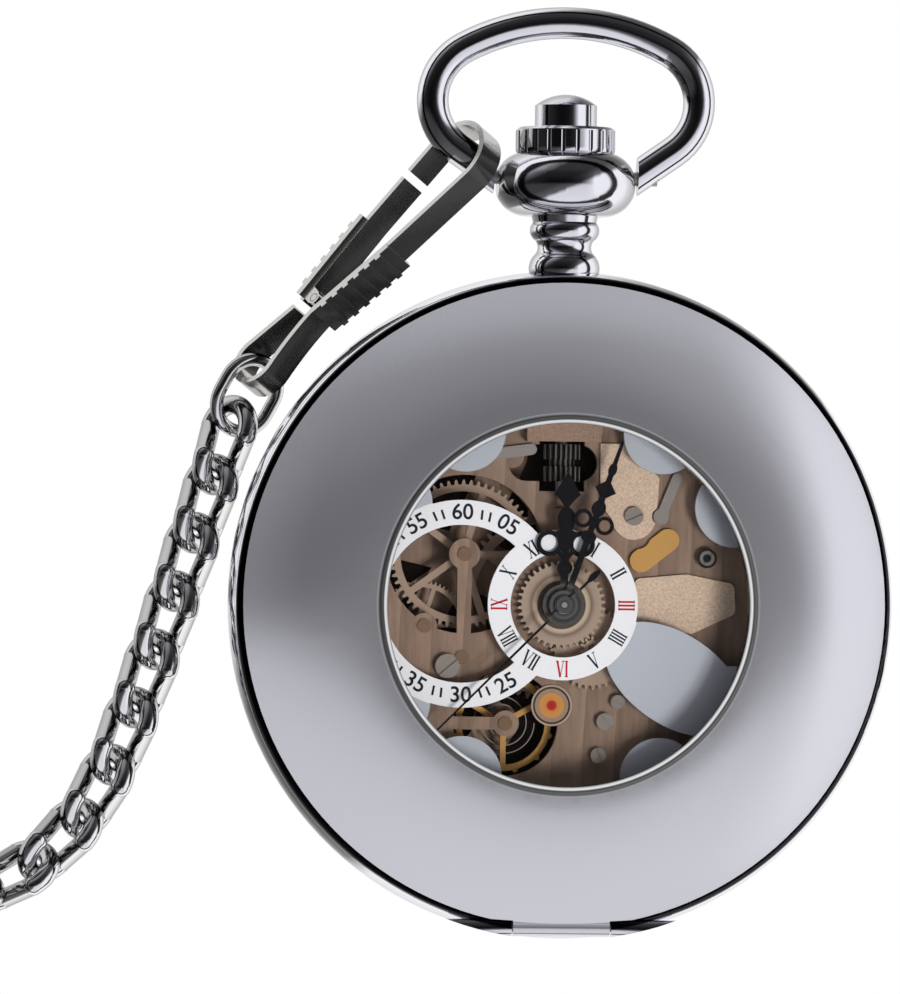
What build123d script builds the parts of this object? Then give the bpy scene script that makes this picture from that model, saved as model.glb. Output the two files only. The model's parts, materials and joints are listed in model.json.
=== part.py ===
from build123d import *
import os
from math import acos, asin, atan2, cos, degrees, hypot, pi, radians, sin, sqrt

# Half-hunter pocket watch, lying on its back.  Millimetres.
# Origin: centre of the flat case back.  +Z out of the dial, +Y to 12 o'clock, +X to 3 o'clock.

# ---- case ----
CASE_R = 23.5            # widest radius of the band
CASE_MID_Z = 5.8         # height of the widest line, of the stem and of the bow pins
BACK_SEAM_Z = 3.0        # where the back closes on the band
LID_SEAM_Z = 9.0         # where the lid closes on the band
BAND_BORE_R = 20.6       # bore of the band, round the movement
BAND_STEP = 0.6          # radial step of the bore that seats the dial bezel
BAND_STEP_DEPTH = 0.8
BAND_LIP_T = 1.0         # band wall beside the bezel at the lid seam, with the lid latch pocket in it
EDGE_BEAD_R = 0.42       # turned beads above and below the belly of the band
BACK_FLAT_R = 14.5       # flat of the back that the watch lies on
BACK_WALL = 0.7
BACK_RISE = 2.1          # height that the back climbs from its flat to its rim
SNAP_LIP = 0.6           # height of the snap lip inside the band
SNAP_WALL = 0.6

# ---- lid with its window ----
LID_R = 22.6
LID_WALL = 0.85
LID_EDGE_H = 0.35        # upright edge of the lid above the seam
LID_RISE = 2.95          # dome height above the seam
WINDOW_R = 12.7
WINDOW_RIM_W = 0.5       # bright turned rim round the window
WINDOW_RIM_H = 0.25
GLASS_T = 0.6            # thickness of both glasses
GLASS_RING_T = 0.4       # ring that holds the lid glass from inside
LID_OPEN_SIDE = 9.0      # half length of the hinge
KNUCKLE_MID = 3.4        # half length of the lid's knuckle
KNUCKLE_R = 0.6
HINGE_PIN_R = 0.26
HINGE_PIN_HALF = 5.1     # half length of the pin
HINGE_OUT = 0.05         # hinge axis outside the edge of the lid

# ---- movement and dial ----
PLATE_R = BAND_BORE_R - 1.3
PLATE_Z = 5.2            # back face of the main plate
PLATE_T = 0.8
BRIDGE_Z = 1.75          # back face of the bridges
BRIDGE_T = 0.6
DIAL_R = 20.3
DIAL_Z = 7.3
DIAL_T = 0.5
DIAL_OPEN_R = 13.6       # opening inside the outer band of the dial
LOBE_R = 2.8             # half-round lobes of the dial at eight of the hours
LOBE_AT = 13.95
LOBE_HOURS = (1, 2, 4, 5, 7, 8, 10, 11)
SUB_X = -7.15            # centre of the small ring at 9 o'clock
SUB_OUT_R = 7.3
SUB_IN_R = 5.55
HOUR_RING_OUT_R = 5.3
HOUR_RING_IN_R = 3.7
BLADE_AT = 9.45          # leaf-shaped arm of the dial
BLADE_CLOCK = 123.0
BLADE_HALF_LENGTH = 5.5
BLADE_HALF_WIDTH = 3.2
DIAL_GLASS_R = 18.2
DIAL_GLASS_GAP = 1.55    # air between dial and its glass

# ---- hands: clock angles in degrees, blades 0.15 thick ----
HAND_T = 0.15
HAND_STEP = 0.4          # height from one hand to the next
HOUR_CLOCK = 1.5
MINUTE_CLOCK = 19.3
SECOND_CLOCK = 225.0
HOUR_LEN = 9.4
MINUTE_LEN = 12.2
SECOND_LEN = 13.0
SECOND_TAIL = 3.4

# ---- wheels: module and tooth counts ----
MOTION_MODULE = 0.15625
CANNON_TEETH = 12
MINUTE_WHEEL_TEETH = 36
MINUTE_PINION_TEETH = 10
HOUR_WHEEL_TEETH = 40
CENTRE_MODULE = 0.2125
CENTRE_TEETH = 64
THIRD_PINION_TEETH = 8
THIRD_MODULE = 0.1706
THIRD_TEETH = 60
FOURTH_PINION_TEETH = 8
FOURTH_MODULE = 0.104
FOURTH_TEETH = 60
ESCAPE_PINION_TEETH = 7
SWEEP_TEETH = 60
SWEEP_PINION_TEETH = 8
BARREL_MODULE = 0.2
BARREL_TEETH = 72
CENTRE_PINION_TEETH = 12
ESCAPE_R = 1.7
ESCAPE_TEETH = 15
BALANCE_R = 3.4
BALANCE_X, BALANCE_Y = -3.8, -8.4
THIRD_CLOCK = 297.2      # clock angles from wheel to wheel along the train
FOURTH_CLOCK = 208.9
ESCAPE_CLOCK = 129.1
BARREL_CLOCK = 64.7
MINUTE_WHEEL_CLOCK = 144.1

# ---- pendant, crown and bow ----
PENDANT_BASE_Y = 20.8
NECK_BEAD_R = 2.46
NECK_WAIST_R = 1.9
PENDANT_BULB_R = 5.0
PENDANT_FLAT = 4.8       # half width between the flats that the bow ends face
PENDANT_TOP_Y = 31.75
CUP_R = 3.4              # cup that the crown sits in
CUP_DEPTH = 0.75
TUBE_R = 1.3
STEM_R = 0.7
CROWN_R = 3.52
CROWN_Y = 31.3           # underside of the crown
CROWN_H = 2.35
CROWN_FLUTES = 22
BUTTON_R = 2.2
BUTTON_H = 2.35          # above the crown
BUTTON_DOME = 0.8        # height of its domed end
BUTTON_TRAVEL = 0.7
BOW_PIVOT_Y = 30.1
BOW_WIRE_R = 1.125
BOW_TOP_R = 15.1         # radius of the arc over the crown
BOW_SIDE_R = 4.2
BOW_SIDE_X = 5.25
BOW_SIDE_UP = 5.4        # side arc centres above the pivot line
BOW_SIDE_END = 55.0      # how far below the horizontal the side arcs run, degrees
BOW_GAP = 0.3            # between bow ends and pendant flats
BOW_PIN_R = 0.5

# ---- clasp, ring and chain ----
STRIP_T = 0.4
STRIP_W = 2.0
CLASP_HOOK_R = 2.6       # middle of the strip round the bow
CLASP_LOOP_R = 1.7      # middle of the strip round the ring
CLASP_LENGTH = 20.2      # from hook centre to loop centre
CLASP_GRIP_FROM = 7.6
CLASP_GRIP_TO = 14.7
GRIP_HALF = 1.9          # strip distance from the middle at the start of the grips
WAIST_HALF = 0.85        # and at the waist
GRIP_PAD_T = 0.45
GRIP_PAD_W = 2.6
RIB_COUNT = 6
RIB_H = 0.25
GATE_GAP = 0.6
GATE_GAP_AT = 3.1
CLASP_PIN_R = 0.28
CLASP_HANG = 0.6         # bow wire above the centre of the hook
CLASP_HEADING = 227.0    # direction in plan, degrees from +X
CLASP_DROP = 9.5         # slope down to the surface
CLASP_ROLL = 55.0        # turn of the loop about its own length
CLASP_BOW_X = -7.0       # where the hook lies on the bow
RING_WIRE_R = 0.48
RING_HALF_LENGTH = 2.65
RING_HALF_WIDTH = 2.12
RING_HEADING = 241.0
LINK_WIRE_R = 0.7
LINK_END_R = 1.9         # centre line of a link's end bend
LINK_HALF_LENGTH = 2.98  # centre line, from middle to end
LINK_TILT = 50.0         # twist of each end bend out of the flat, degrees
LINK_PITCH = 4.35

# ---- clearances ----
RUN = 0.05               # shaft in hole, radial
FIT = 0.02               # parts that are pushed together
GAP = 0.1                # between faces that pass each other
PLAY = 0.15              # loose play of hinge knuckles and pockets
END_CLASP_TURN = 14.0    # the far clasp turns this much from its ring, degrees
END_CLASP_DROP = 6.5     # and leans this much, hook end up
END_CLASP_ROLL = 45.0
END_RING_TILT = 50.0     # turn of the far ring about its length
END_RING_PITCH = 8.0     # its clasp end lies higher
RING_INSET = 0.3         # ring wire inside the middle of the clasp loop
RING_ROLL = -14.0        # turn of the near ring about its length
RING_LEAN = 4.5          # the first link lies this much to the side of it, degrees
COVER_Y0 = 11.5          # bridge over the stem, from and to
COVER_Y1 = 16.5
COVER_HALF = 2.6
COVER_T = 0.12


# ---------------------------------------------------------------- helpers
def clock(r, angle):
    """Point at radius r and clock angle (degrees clockwise from 12)."""
    return (r * sin(radians(angle)), r * cos(radians(angle)))


def disc(r, z0, z1, x=0.0, y=0.0):
    return Pos(x, y, (z0 + z1) / 2) * Cylinder(r, z1 - z0)


def ring(r_out, r_in, z0, z1, x=0.0, y=0.0):
    return disc(r_out, z0, z1, x, y) - disc(r_in, z0 - 1, z1 + 1, x, y)


def rod_y(r, y0, y1, x=0.0, z=CASE_MID_Z):
    return Pos(x, (y0 + y1) / 2, z) * Rot(90, 0, 0) * Cylinder(r, y1 - y0)


def rod_x(r, x0, x1, y, z):
    return Pos((x0 + x1) / 2, y, z) * Rot(0, 90, 0) * Cylinder(r, abs(x1 - x0))


def plate(outline, z0, z1):
    """Extrude a flat outline from z0 to z1."""
    return Pos(0, 0, z0) * extrude(outline, amount=z1 - z0)


def turned(edges):
    """Revolve a closed outline of edges in the XZ plane about Z."""
    return revolve(make_face(Curve() + edges), Axis.Z)


def path_of(points, arcs):
    """Edges through the points; arcs gives a middle point for the spans that bulge."""
    edges = []
    for i in range(len(points)):
        a, b = points[i], points[(i + 1) % len(points)]
        if i in arcs:
            edges.append(ThreePointArc(a, arcs[i], b))
        else:
            edges.append(Line(a, b))
    return edges


def turned_xz(points, arcs=None):
    lift = lambda p: (p[0], 0, p[1])
    raised = {i: lift(p) for i, p in (arcs or {}).items()}
    return turned(path_of([lift(p) for p in points], raised))


def turned_along_y(points, arcs=None):
    """Revolve (radius, y) points about the stem axis."""
    lift = lambda p: (p[0], 0, p[1])
    raised = {i: lift(p) for i, p in (arcs or {}).items()}
    body = turned(path_of([lift(p) for p in points], raised))
    return Pos(0, 0, CASE_MID_Z) * Rot(-90, 0, 0) * body


def gear(module, teeth, z0, z1, at=(0, 0), turn=0.0, spokes=0, bore=0.0, hub=0.0):
    """Watch gear with short pointed teeth; turn is the clock angle of one tooth."""
    pitch_r = module * teeth / 2
    tip_r = pitch_r + 0.8 * module
    root_r = pitch_r - 1.15 * module
    step = 360.0 / teeth
    points = []
    for i in range(teeth):
        middle = turn + i * step
        for part, r in ((-0.27, root_r), (-0.2, pitch_r), (-0.08, tip_r),
                        (0.08, tip_r), (0.2, pitch_r), (0.27, root_r)):
            points.append(clock(r, middle + part * step))
    face = make_face(Polyline(*points, close=True))
    if spokes:
        rim_r = root_r - max(0.22, root_r * 0.1)
        window = Circle(rim_r) - Circle(hub)
        for i in range(spokes):
            bar_w = max(0.28, root_r * 0.1)
            window -= Rot(0, 0, i * 360 / spokes) * Pos(rim_r / 2, 0) * Rectangle(rim_r + 1, bar_w)
        face -= window
    if bore:
        face -= Circle(bore)
    return Pos(at[0], at[1], 0) * plate(face, z0, z1)


def mesh_turn(driver_turn, driver_teeth, teeth, direction):
    """Clock angle of a tooth of a gear whose gap meets the driver's tooth.

    direction is the clock angle from the driver's centre to the gear's centre.
    """
    driver_step = 360.0 / driver_teeth
    phase = ((direction - driver_turn) / driver_step) % 1.0
    step = 360.0 / teeth
    return direction + 180.0 + (phase + 0.5) * step


# ---------------------------------------------------------------- case
hinge_y = -(LID_R + HINGE_OUT)
band_seat_z = LID_SEAM_Z - BAND_STEP_DEPTH
seat_r = BAND_BORE_R + BAND_STEP


def knuckle(x0, x1):
    return rod_x(KNUCKLE_R, x0, x1, hinge_y, LID_SEAM_Z)


def hinge_room(x0, x1):
    return rod_x(KNUCKLE_R + GAP, x0, x1, hinge_y, LID_SEAM_Z)


def case_band():
    back_r = CASE_R - 1.1
    low_bead_z = BACK_SEAM_Z + EDGE_BEAD_R
    high_bead_z = LID_SEAM_Z - EDGE_BEAD_R
    groove_low = low_bead_z + EDGE_BEAD_R
    groove_high = high_bead_z - EDGE_BEAD_R
    points = [
        (BAND_BORE_R, BACK_SEAM_Z), (back_r, BACK_SEAM_Z),
        (back_r, groove_low), (CASE_R - 0.75, groove_low),
        (CASE_R - 0.6, groove_high), (LID_R + 0.15, groove_high),
        (LID_R + 0.15, LID_SEAM_Z), (seat_r, LID_SEAM_Z),
        (seat_r, band_seat_z), (BAND_BORE_R, band_seat_z),
    ]
    arcs = {
        1: (back_r + EDGE_BEAD_R, low_bead_z),
        3: (CASE_R, CASE_MID_Z),
        5: (LID_R + 0.15 + EDGE_BEAD_R, high_bead_z),
    }
    band = turned_xz(points, arcs)
    for side in (1, -1):
        band += knuckle(side * (KNUCKLE_MID + GAP), side * LID_OPEN_SIDE) & disc(CASE_R, 0, lid_top_z)
    band -= hinge_room(-KNUCKLE_MID - GAP, KNUCKLE_MID + GAP)
    band -= rod_x(HINGE_PIN_R, -HINGE_PIN_HALF, HINGE_PIN_HALF, hinge_y, LID_SEAM_Z)
    band -= rod_y(NECK_BEAD_R + FIT, BAND_BORE_R - 2, CASE_R + 3)
    band -= latch_outline(PLAY, band_seat_z - 0.01, LID_SEAM_Z + 1)
    return band.solids().sort_by(SortBy.VOLUME)[-1]


def latch_outline(room, z0, z1):
    """Arc-shaped spring catch at 12 o'clock, grown by room on every side."""
    inner, outer, half = seat_r + 0.35, seat_r + 0.75, 9.0 + degrees(room / seat_r)
    body = ring(outer + room, inner - room, z0, z1)
    wedge = Pos(0, 0, (z0 + z1) / 2) * Rot(0, 0, 90 - half) * extrude(
        make_face(Polyline((0, 0), (40, 0), (40 * cos(radians(2 * half)), 40 * sin(radians(2 * half))),
                           close=True)), amount=5, both=True)
    return body & wedge


def lid_latch():
    return latch_outline(0, band_seat_z - 0.01 + GAP, LID_SEAM_Z - GAP)


def lid_spring():
    """Long bent spring in the band, under the movement ring, that throws the lid open."""
    inner, outer = BAND_BORE_R - 1.0, BAND_BORE_R - 0.2
    body = ring(outer, inner, BACK_SEAM_Z + SNAP_LIP + GAP, PLATE_Z - 1.35)
    keep = Pos(0, -BAND_BORE_R, CASE_MID_Z) * Box(30, 24, 12)
    return body & keep


def case_back():
    rim_r = CASE_R - 1.15
    lip_r = BAND_BORE_R - FIT
    points = [
        (0, 0), (BACK_FLAT_R, 0), (rim_r, BACK_RISE), (rim_r, BACK_SEAM_Z), (lip_r, BACK_SEAM_Z),
        (lip_r, BACK_SEAM_Z + SNAP_LIP), (lip_r - SNAP_WALL, BACK_SEAM_Z + SNAP_LIP),
        (lip_r - SNAP_WALL, BACK_RISE + 0.35), (BACK_FLAT_R, BACK_WALL), (0, BACK_WALL),
    ]
    middle_r = (BACK_FLAT_R + rim_r) / 2
    arcs = {
        1: (middle_r + 0.35, BACK_RISE * 0.36),
        7: (middle_r - 0.4, BACK_RISE * 0.36 + BACK_WALL + 0.05),
    }
    shell = turned_xz(points, arcs)
    nail_x, nail_y = clock(rim_r, 150)
    lip = disc(1.3, BACK_SEAM_Z - 0.45, BACK_SEAM_Z, nail_x * 0.985, nail_y * 0.985)
    return shell + lip


def hinge_pin():
    return rod_x(HINGE_PIN_R, -HINGE_PIN_HALF, HINGE_PIN_HALF, hinge_y, LID_SEAM_Z)


# ---------------------------------------------------------------- lid
lid_top_z = LID_SEAM_Z + LID_RISE
window_top_z = lid_top_z + WINDOW_RIM_H
glass_seat_z = window_top_z - 0.5
lid_glass_r = WINDOW_R + 0.3
lid_glass_z = glass_seat_z - GLASS_T
lid_boss_z = lid_glass_z - GLASS_RING_T
lid_boss_r = lid_glass_r + 0.9


def lid():
    rim_r = WINDOW_R + WINDOW_RIM_W
    edge_z = LID_SEAM_Z + LID_EDGE_H
    inner_edge_r = LID_R - LID_WALL - 0.35
    points = [
        (LID_R, LID_SEAM_Z), (LID_R, edge_z), (rim_r, lid_top_z), (rim_r, window_top_z - 0.1),
        (rim_r - 0.1, window_top_z), (WINDOW_R, window_top_z), (WINDOW_R, glass_seat_z),
        (lid_glass_r + FIT, glass_seat_z), (lid_glass_r + FIT, lid_boss_z), (lid_boss_r, lid_boss_z),
        (lid_boss_r, lid_top_z - LID_WALL - 0.1), (inner_edge_r, LID_SEAM_Z),
    ]
    span_r = LID_R - rim_r
    arcs = {
        1: (rim_r + 0.57 * span_r, edge_z + 0.69 * (lid_top_z - edge_z)),
        10: (lid_boss_r + 0.55 * (inner_edge_r - lid_boss_r),
             LID_SEAM_Z + 0.62 * (lid_top_z - LID_WALL - LID_SEAM_Z)),
    }
    shell = turned_xz(points, arcs)
    for side in (1, -1):
        shell -= hinge_room(side * KNUCKLE_MID, side * (LID_OPEN_SIDE + GAP))
    shell += knuckle(-KNUCKLE_MID, KNUCKLE_MID)
    shell -= rod_x(HINGE_PIN_R + RUN, -LID_OPEN_SIDE, LID_OPEN_SIDE, hinge_y, LID_SEAM_Z)
    return shell


def lid_crystal():
    glass = disc(lid_glass_r, lid_glass_z, glass_seat_z)
    return chamfer(glass.edges().group_by(Axis.Z)[0], 0.08)


def lid_crystal_ring():
    return ring(lid_glass_r, WINDOW_R + 0.05, lid_boss_z, lid_glass_z)


# ---------------------------------------------------------------- dial bezel and glass
dial_top_z = DIAL_Z + DIAL_T
dial_glass_z = dial_top_z + DIAL_GLASS_GAP
bezel_top_z = dial_glass_z + GLASS_T + GAP


def dial_bezel():
    foot_r = seat_r - 0.3
    inner_r = DIAL_GLASS_R - 0.5
    points = [
        (DIAL_R - 0.7, dial_top_z + 0.02), (DIAL_R - FIT, dial_top_z + 0.02), (DIAL_R - FIT, band_seat_z),
        (foot_r, band_seat_z), (foot_r, LID_SEAM_Z - 0.15), (DIAL_GLASS_R + 0.3, bezel_top_z),
        (DIAL_GLASS_R + FIT, bezel_top_z), (DIAL_GLASS_R + FIT, dial_glass_z), (inner_r, dial_glass_z),
        (inner_r, dial_glass_z - 0.35),
    ]
    arcs = {4: (DIAL_GLASS_R + 1.75, bezel_top_z - 0.6)}
    return turned_xz(points, arcs)


def dial_crystal():
    return disc(DIAL_GLASS_R, dial_glass_z, dial_glass_z + GLASS_T)


# ---------------------------------------------------------------- pendant, crown, bow
def pendant():
    flat_y = PENDANT_TOP_Y - 1.75
    points = [
        (TUBE_R, PENDANT_BASE_Y), (NECK_BEAD_R, PENDANT_BASE_Y), (NECK_BEAD_R, 23.3),
        (NECK_WAIST_R + 0.15, 24.75), (NECK_WAIST_R + 0.15, 25.65), (NECK_WAIST_R + 0.35, 26.95),
        (NECK_WAIST_R + 0.45, 27.4), (CUP_R + 0.25, PENDANT_TOP_Y), (CUP_R, PENDANT_TOP_Y),
        (CUP_R, PENDANT_TOP_Y - CUP_DEPTH), (TUBE_R, PENDANT_TOP_Y - CUP_DEPTH),
    ]
    arcs = {
        2: (NECK_BEAD_R, 24.1), 3: (NECK_WAIST_R, 25.2), 4: (NECK_BEAD_R, 26.3),
        6: (PENDANT_BULB_R, flat_y - 0.15),
    }
    body = turned_along_y(points, arcs)
    keep = Pos(0, flat_y - 3, CASE_MID_Z) * Box(2 * PENDANT_FLAT, 16, 14)
    body = body & keep
    for side in (1, -1):
        body -= rod_x(BOW_PIN_R, side * (PENDANT_FLAT - 1.6), side * 8, BOW_PIVOT_Y, CASE_MID_Z)
    return body


def crown_tube():
    bottom_y = BAND_BORE_R - 0.5
    return rod_y(TUBE_R, PENDANT_BASE_Y, CROWN_Y + 0.6) - rod_y(STEM_R + RUN, bottom_y, CROWN_Y + 2)


crown_top_y = CROWN_Y + CROWN_H
button_room_y = crown_top_y - BUTTON_TRAVEL - 0.25


def crown():
    points = [
        (TUBE_R + GAP, CROWN_Y), (CROWN_R - 0.95, CROWN_Y), (CROWN_R, CROWN_Y + 0.85),
        (CROWN_R, crown_top_y - 0.2), (CROWN_R - 0.25, crown_top_y), (BUTTON_R + RUN, crown_top_y),
        (BUTTON_R + RUN, button_room_y), (STEM_R - 0.05, button_room_y),
        (STEM_R - 0.05, button_room_y - 0.55),
        (TUBE_R + GAP, button_room_y - 0.55),
    ]
    body = turned_along_y(points, {1: (CROWN_R - 0.22, CROWN_Y + 0.3)})
    flute_r = pi * CROWN_R / CROWN_FLUTES * 0.42
    for i in range(CROWN_FLUTES):
        angle = radians(i * 360 / CROWN_FLUTES)
        x, z = (CROWN_R + 0.12) * cos(angle), (CROWN_R + 0.12) * sin(angle)
        body -= rod_y(flute_r, CROWN_Y - 0.1, crown_top_y - 0.28, x, CASE_MID_Z + z)
    return body


def crown_button():
    top_y = crown_top_y + BUTTON_H
    ball_r = (BUTTON_R ** 2 + BUTTON_DOME ** 2) / (2 * BUTTON_DOME)
    mid_r = BUTTON_R * 0.6
    mid_y = top_y - ball_r + sqrt(ball_r ** 2 - mid_r ** 2)
    points = [
        (0, crown_top_y - 0.15), (BUTTON_R, crown_top_y - 0.15), (BUTTON_R, top_y - BUTTON_DOME), (0, top_y),
    ]
    return turned_along_y(points, {2: (mid_r, mid_y)})


def button_spring():
    wire = Helix(pitch=0.26, height=0.4, radius=BUTTON_R - 0.6)
    coil = sweep(Plane(wire @ 0, z_dir=wire % 0) * Circle(0.09), path=wire)
    return Pos(0, button_room_y + 0.12, CASE_MID_Z) * Rot(-90, 0, 0) * coil


def winding_stem():
    inner_y = CLUTCH_Y - 2.6
    stem = rod_y(STEM_R, BAND_BORE_R - 1.2, button_room_y - 0.55) + rod_y(0.45, inner_y, BAND_BORE_R - 1.1)
    return stem + rod_y(STEM_R - 0.05 - FIT, button_room_y - 0.6, button_room_y - 0.02)


def bow():
    side = BOW_SIDE_X
    end = radians(BOW_SIDE_END)
    drop = BOW_SIDE_UP + BOW_PIVOT_Y
    top_centre_y = drop - sqrt((BOW_TOP_R - BOW_SIDE_R) ** 2 - side ** 2)
    join = atan2(drop - top_centre_y, side)
    join_x, join_y = side + BOW_SIDE_R * cos(join), drop + BOW_SIDE_R * sin(join)
    foot_x, foot_y = side + BOW_SIDE_R * cos(end), drop - BOW_SIDE_R * sin(end)
    inner_x = PENDANT_FLAT + BOW_GAP - 0.6
    inner_y = foot_y - (foot_x - inner_x) / sin(end) * cos(end)
    half = [
        Line((inner_x, inner_y), (foot_x, foot_y)),
        ThreePointArc((foot_x, foot_y), (side + BOW_SIDE_R, drop), (join_x, join_y)),
    ]
    top = ThreePointArc((join_x, join_y), (0, top_centre_y + BOW_TOP_R), (-join_x, join_y))
    path = Wire(half + [top] + [e.mirror(Plane.YZ) for e in half])
    start = path @ 0
    tangent = path % 0
    wire = sweep(Plane(start, z_dir=tangent) * Circle(BOW_WIRE_R), path=path)
    wire = Pos(0, 0, CASE_MID_Z) * wire
    wire -= Pos(0, BOW_PIVOT_Y, CASE_MID_Z) * Box(2 * (PENDANT_FLAT + BOW_GAP), 8, 8)
    for side_sign in (1, -1):
        pin_reach = PENDANT_FLAT + BOW_GAP + 1.5
        wire -= rod_x(BOW_PIN_R + RUN, 0, side_sign * pin_reach, BOW_PIVOT_Y, CASE_MID_Z)
    return wire


def bow_pins():
    pins = []
    for side in (1, -1):
        pins.append(rod_x(BOW_PIN_R, side * (PENDANT_FLAT - 1.55), side * (PENDANT_FLAT + BOW_GAP + 1.4),
                          BOW_PIVOT_Y, CASE_MID_Z))
    return Compound(children=pins)


# ---------------------------------------------------------------- dial and hands
def dial():
    face = Circle(DIAL_R) - Circle(DIAL_OPEN_R)
    for hour in LOBE_HOURS:
        x, y = clock(LOBE_AT, hour * 30)
        face += Pos(x, y) * Circle(LOBE_R)
    face += Pos(SUB_X, 0) * (Circle(SUB_OUT_R) - Circle(SUB_IN_R)) - Circle(HOUR_RING_IN_R)
    face -= Pos(SUB_X, 0) * Circle(SUB_IN_R) & Circle(DIAL_OPEN_R)
    face += Circle(HOUR_RING_OUT_R) - Circle(HOUR_RING_IN_R)
    x, y = clock(BLADE_AT, BLADE_CLOCK)
    blade = Pos(x, y) * Rot(0, 0, -BLADE_CLOCK) * Ellipse(BLADE_HALF_WIDTH, BLADE_HALF_LENGTH)
    face += blade - Circle(HOUR_RING_IN_R)
    body = plate(face & Circle(DIAL_R), DIAL_Z, DIAL_Z + DIAL_T)
    for angle in (45, 165, 285):
        x, y = clock(PLATE_R - 1.2, angle)
        body += disc(0.4, PLATE_Z + PLATE_T, DIAL_Z, x, y)
    return body


hour_z = dial_top_z + 0.2
minute_z = hour_z + HAND_STEP
second_z = minute_z + HAND_STEP
SECOND_ARBOR_R = 0.2
CENTRE_ARBOR_R = 0.45
CANNON_PIPE_R = 0.65
HOUR_PIPE_R = 1.0


def hour_hand():
    face = Circle(HOUR_PIPE_R + 0.45)
    face += Pos(0, HOUR_LEN * 0.36) * Rectangle(0.55, HOUR_LEN * 0.6)
    face += Pos(0, 4.9) * Ellipse(0.8, 0.45) + Pos(0, 2.6) * Ellipse(0.55, 0.5)
    for side in (1, -1):
        face += Pos(side * 1.15, 4.3) * (Circle(0.92) - Circle(0.6))
        face += Pos(side * 0.3, 3.45) * Rot(0, 0, side * -38) * Rectangle(0.26, 1.0)
    face += Pos(0, 6.0) * Ellipse(0.62, 0.9)
    spade = make_face([
        ThreePointArc((0, 6.6), (0.45, 7.3), (0.95, 7.75)),
        ThreePointArc((0.95, 7.75), (0.6, 8.35), (0, HOUR_LEN)),
        ThreePointArc((0, HOUR_LEN), (-0.6, 8.35), (-0.95, 7.75)),
        ThreePointArc((-0.95, 7.75), (-0.45, 7.3), (0, 6.6)),
    ])
    face += spade
    face -= Circle(HOUR_PIPE_R)
    return Rot(0, 0, -HOUR_CLOCK) * plate(face, hour_z, hour_z + HAND_T)


def minute_hand():
    face = Circle(CANNON_PIPE_R + 0.4)
    face += Pos(0, 4.6) * Rectangle(0.44, 8.6)
    face += (Pos(0, 7.2) * Ellipse(0.5, 0.6) + Pos(0, 5.1) * Ellipse(0.55, 0.45)
             + Pos(0, 10.1) * Ellipse(0.3, 0.5))
    for side in (1, -1):
        face += Pos(side * 0.8, 6.2) * (Circle(0.66) - Circle(0.4))
    face += Pos(0, 8.6) * Rot(0, 0, 45) * Rectangle(1.1, 1.1)
    face += make_face(Polyline((-0.22, 8.8), (0.22, 8.8), (0.1, MINUTE_LEN), (-0.1, MINUTE_LEN), close=True))
    face -= Circle(CANNON_PIPE_R)
    return Rot(0, 0, -MINUTE_CLOCK) * plate(face, minute_z, minute_z + HAND_T)


def second_hand():
    face = Circle(0.6)
    face += make_face(Polyline((-0.1, -SECOND_TAIL), (0.1, -SECOND_TAIL), (0.06, SECOND_LEN),
                               (-0.06, SECOND_LEN), close=True))
    face += Pos(0, -SECOND_TAIL + 0.5) * Ellipse(0.22, 0.6)
    face -= Circle(SECOND_ARBOR_R)
    return Rot(0, 0, -SECOND_CLOCK) * plate(face, second_z, second_z + HAND_T)


# ---------------------------------------------------------------- wheels under the hands
plate_top_z = PLATE_Z + PLATE_T
cannon_z = plate_top_z + GAP
hour_wheel_z = plate_top_z + 0.65
bridge_top_z = BRIDGE_Z + BRIDGE_T
sweep_z = BRIDGE_Z - 0.4
centre_wheel_z = bridge_top_z + 0.5
third_wheel_z = centre_wheel_z + 1.45
fourth_wheel_z = centre_wheel_z + 0.85
barrel_z = centre_wheel_z + 0.45
barrel_top_z = barrel_z + 1.5
WHEEL_T = 0.2

third_at = clock(CENTRE_MODULE * (CENTRE_TEETH + THIRD_PINION_TEETH) / 2, THIRD_CLOCK)
fourth_step = clock(THIRD_MODULE * (THIRD_TEETH + FOURTH_PINION_TEETH) / 2, FOURTH_CLOCK)
fourth_at = (third_at[0] + fourth_step[0], third_at[1] + fourth_step[1])
escape_step = clock(FOURTH_MODULE * (FOURTH_TEETH + ESCAPE_PINION_TEETH) / 2, ESCAPE_CLOCK)
escape_at = (fourth_at[0] + escape_step[0], fourth_at[1] + escape_step[1])
barrel_at = clock(BARREL_MODULE * (BARREL_TEETH + CENTRE_PINION_TEETH) / 2, BARREL_CLOCK)
minute_wheel_at = clock(MOTION_MODULE * (CANNON_TEETH + MINUTE_WHEEL_TEETH) / 2, MINUTE_WHEEL_CLOCK)
minute_pinion_module = MOTION_MODULE * (CANNON_TEETH + MINUTE_WHEEL_TEETH) / (
    MINUTE_PINION_TEETH + HOUR_WHEEL_TEETH)
sweep_module = CENTRE_MODULE * (CENTRE_TEETH + THIRD_PINION_TEETH) / (SWEEP_TEETH + SWEEP_PINION_TEETH)
pallet_way = (BALANCE_X - escape_at[0], BALANCE_Y - escape_at[1])
pallet_reach = (ESCAPE_R + 0.75) / hypot(*pallet_way)
pallet_at = (escape_at[0] + pallet_way[0] * pallet_reach, escape_at[1] + pallet_way[1] * pallet_reach)
PIVOT_R = 0.15
ARBOR_R = 0.22


minute_wheel_turn = mesh_turn(0, CANNON_TEETH, MINUTE_WHEEL_TEETH, MINUTE_WHEEL_CLOCK)
minute_pinion_turn = 0.0


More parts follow.
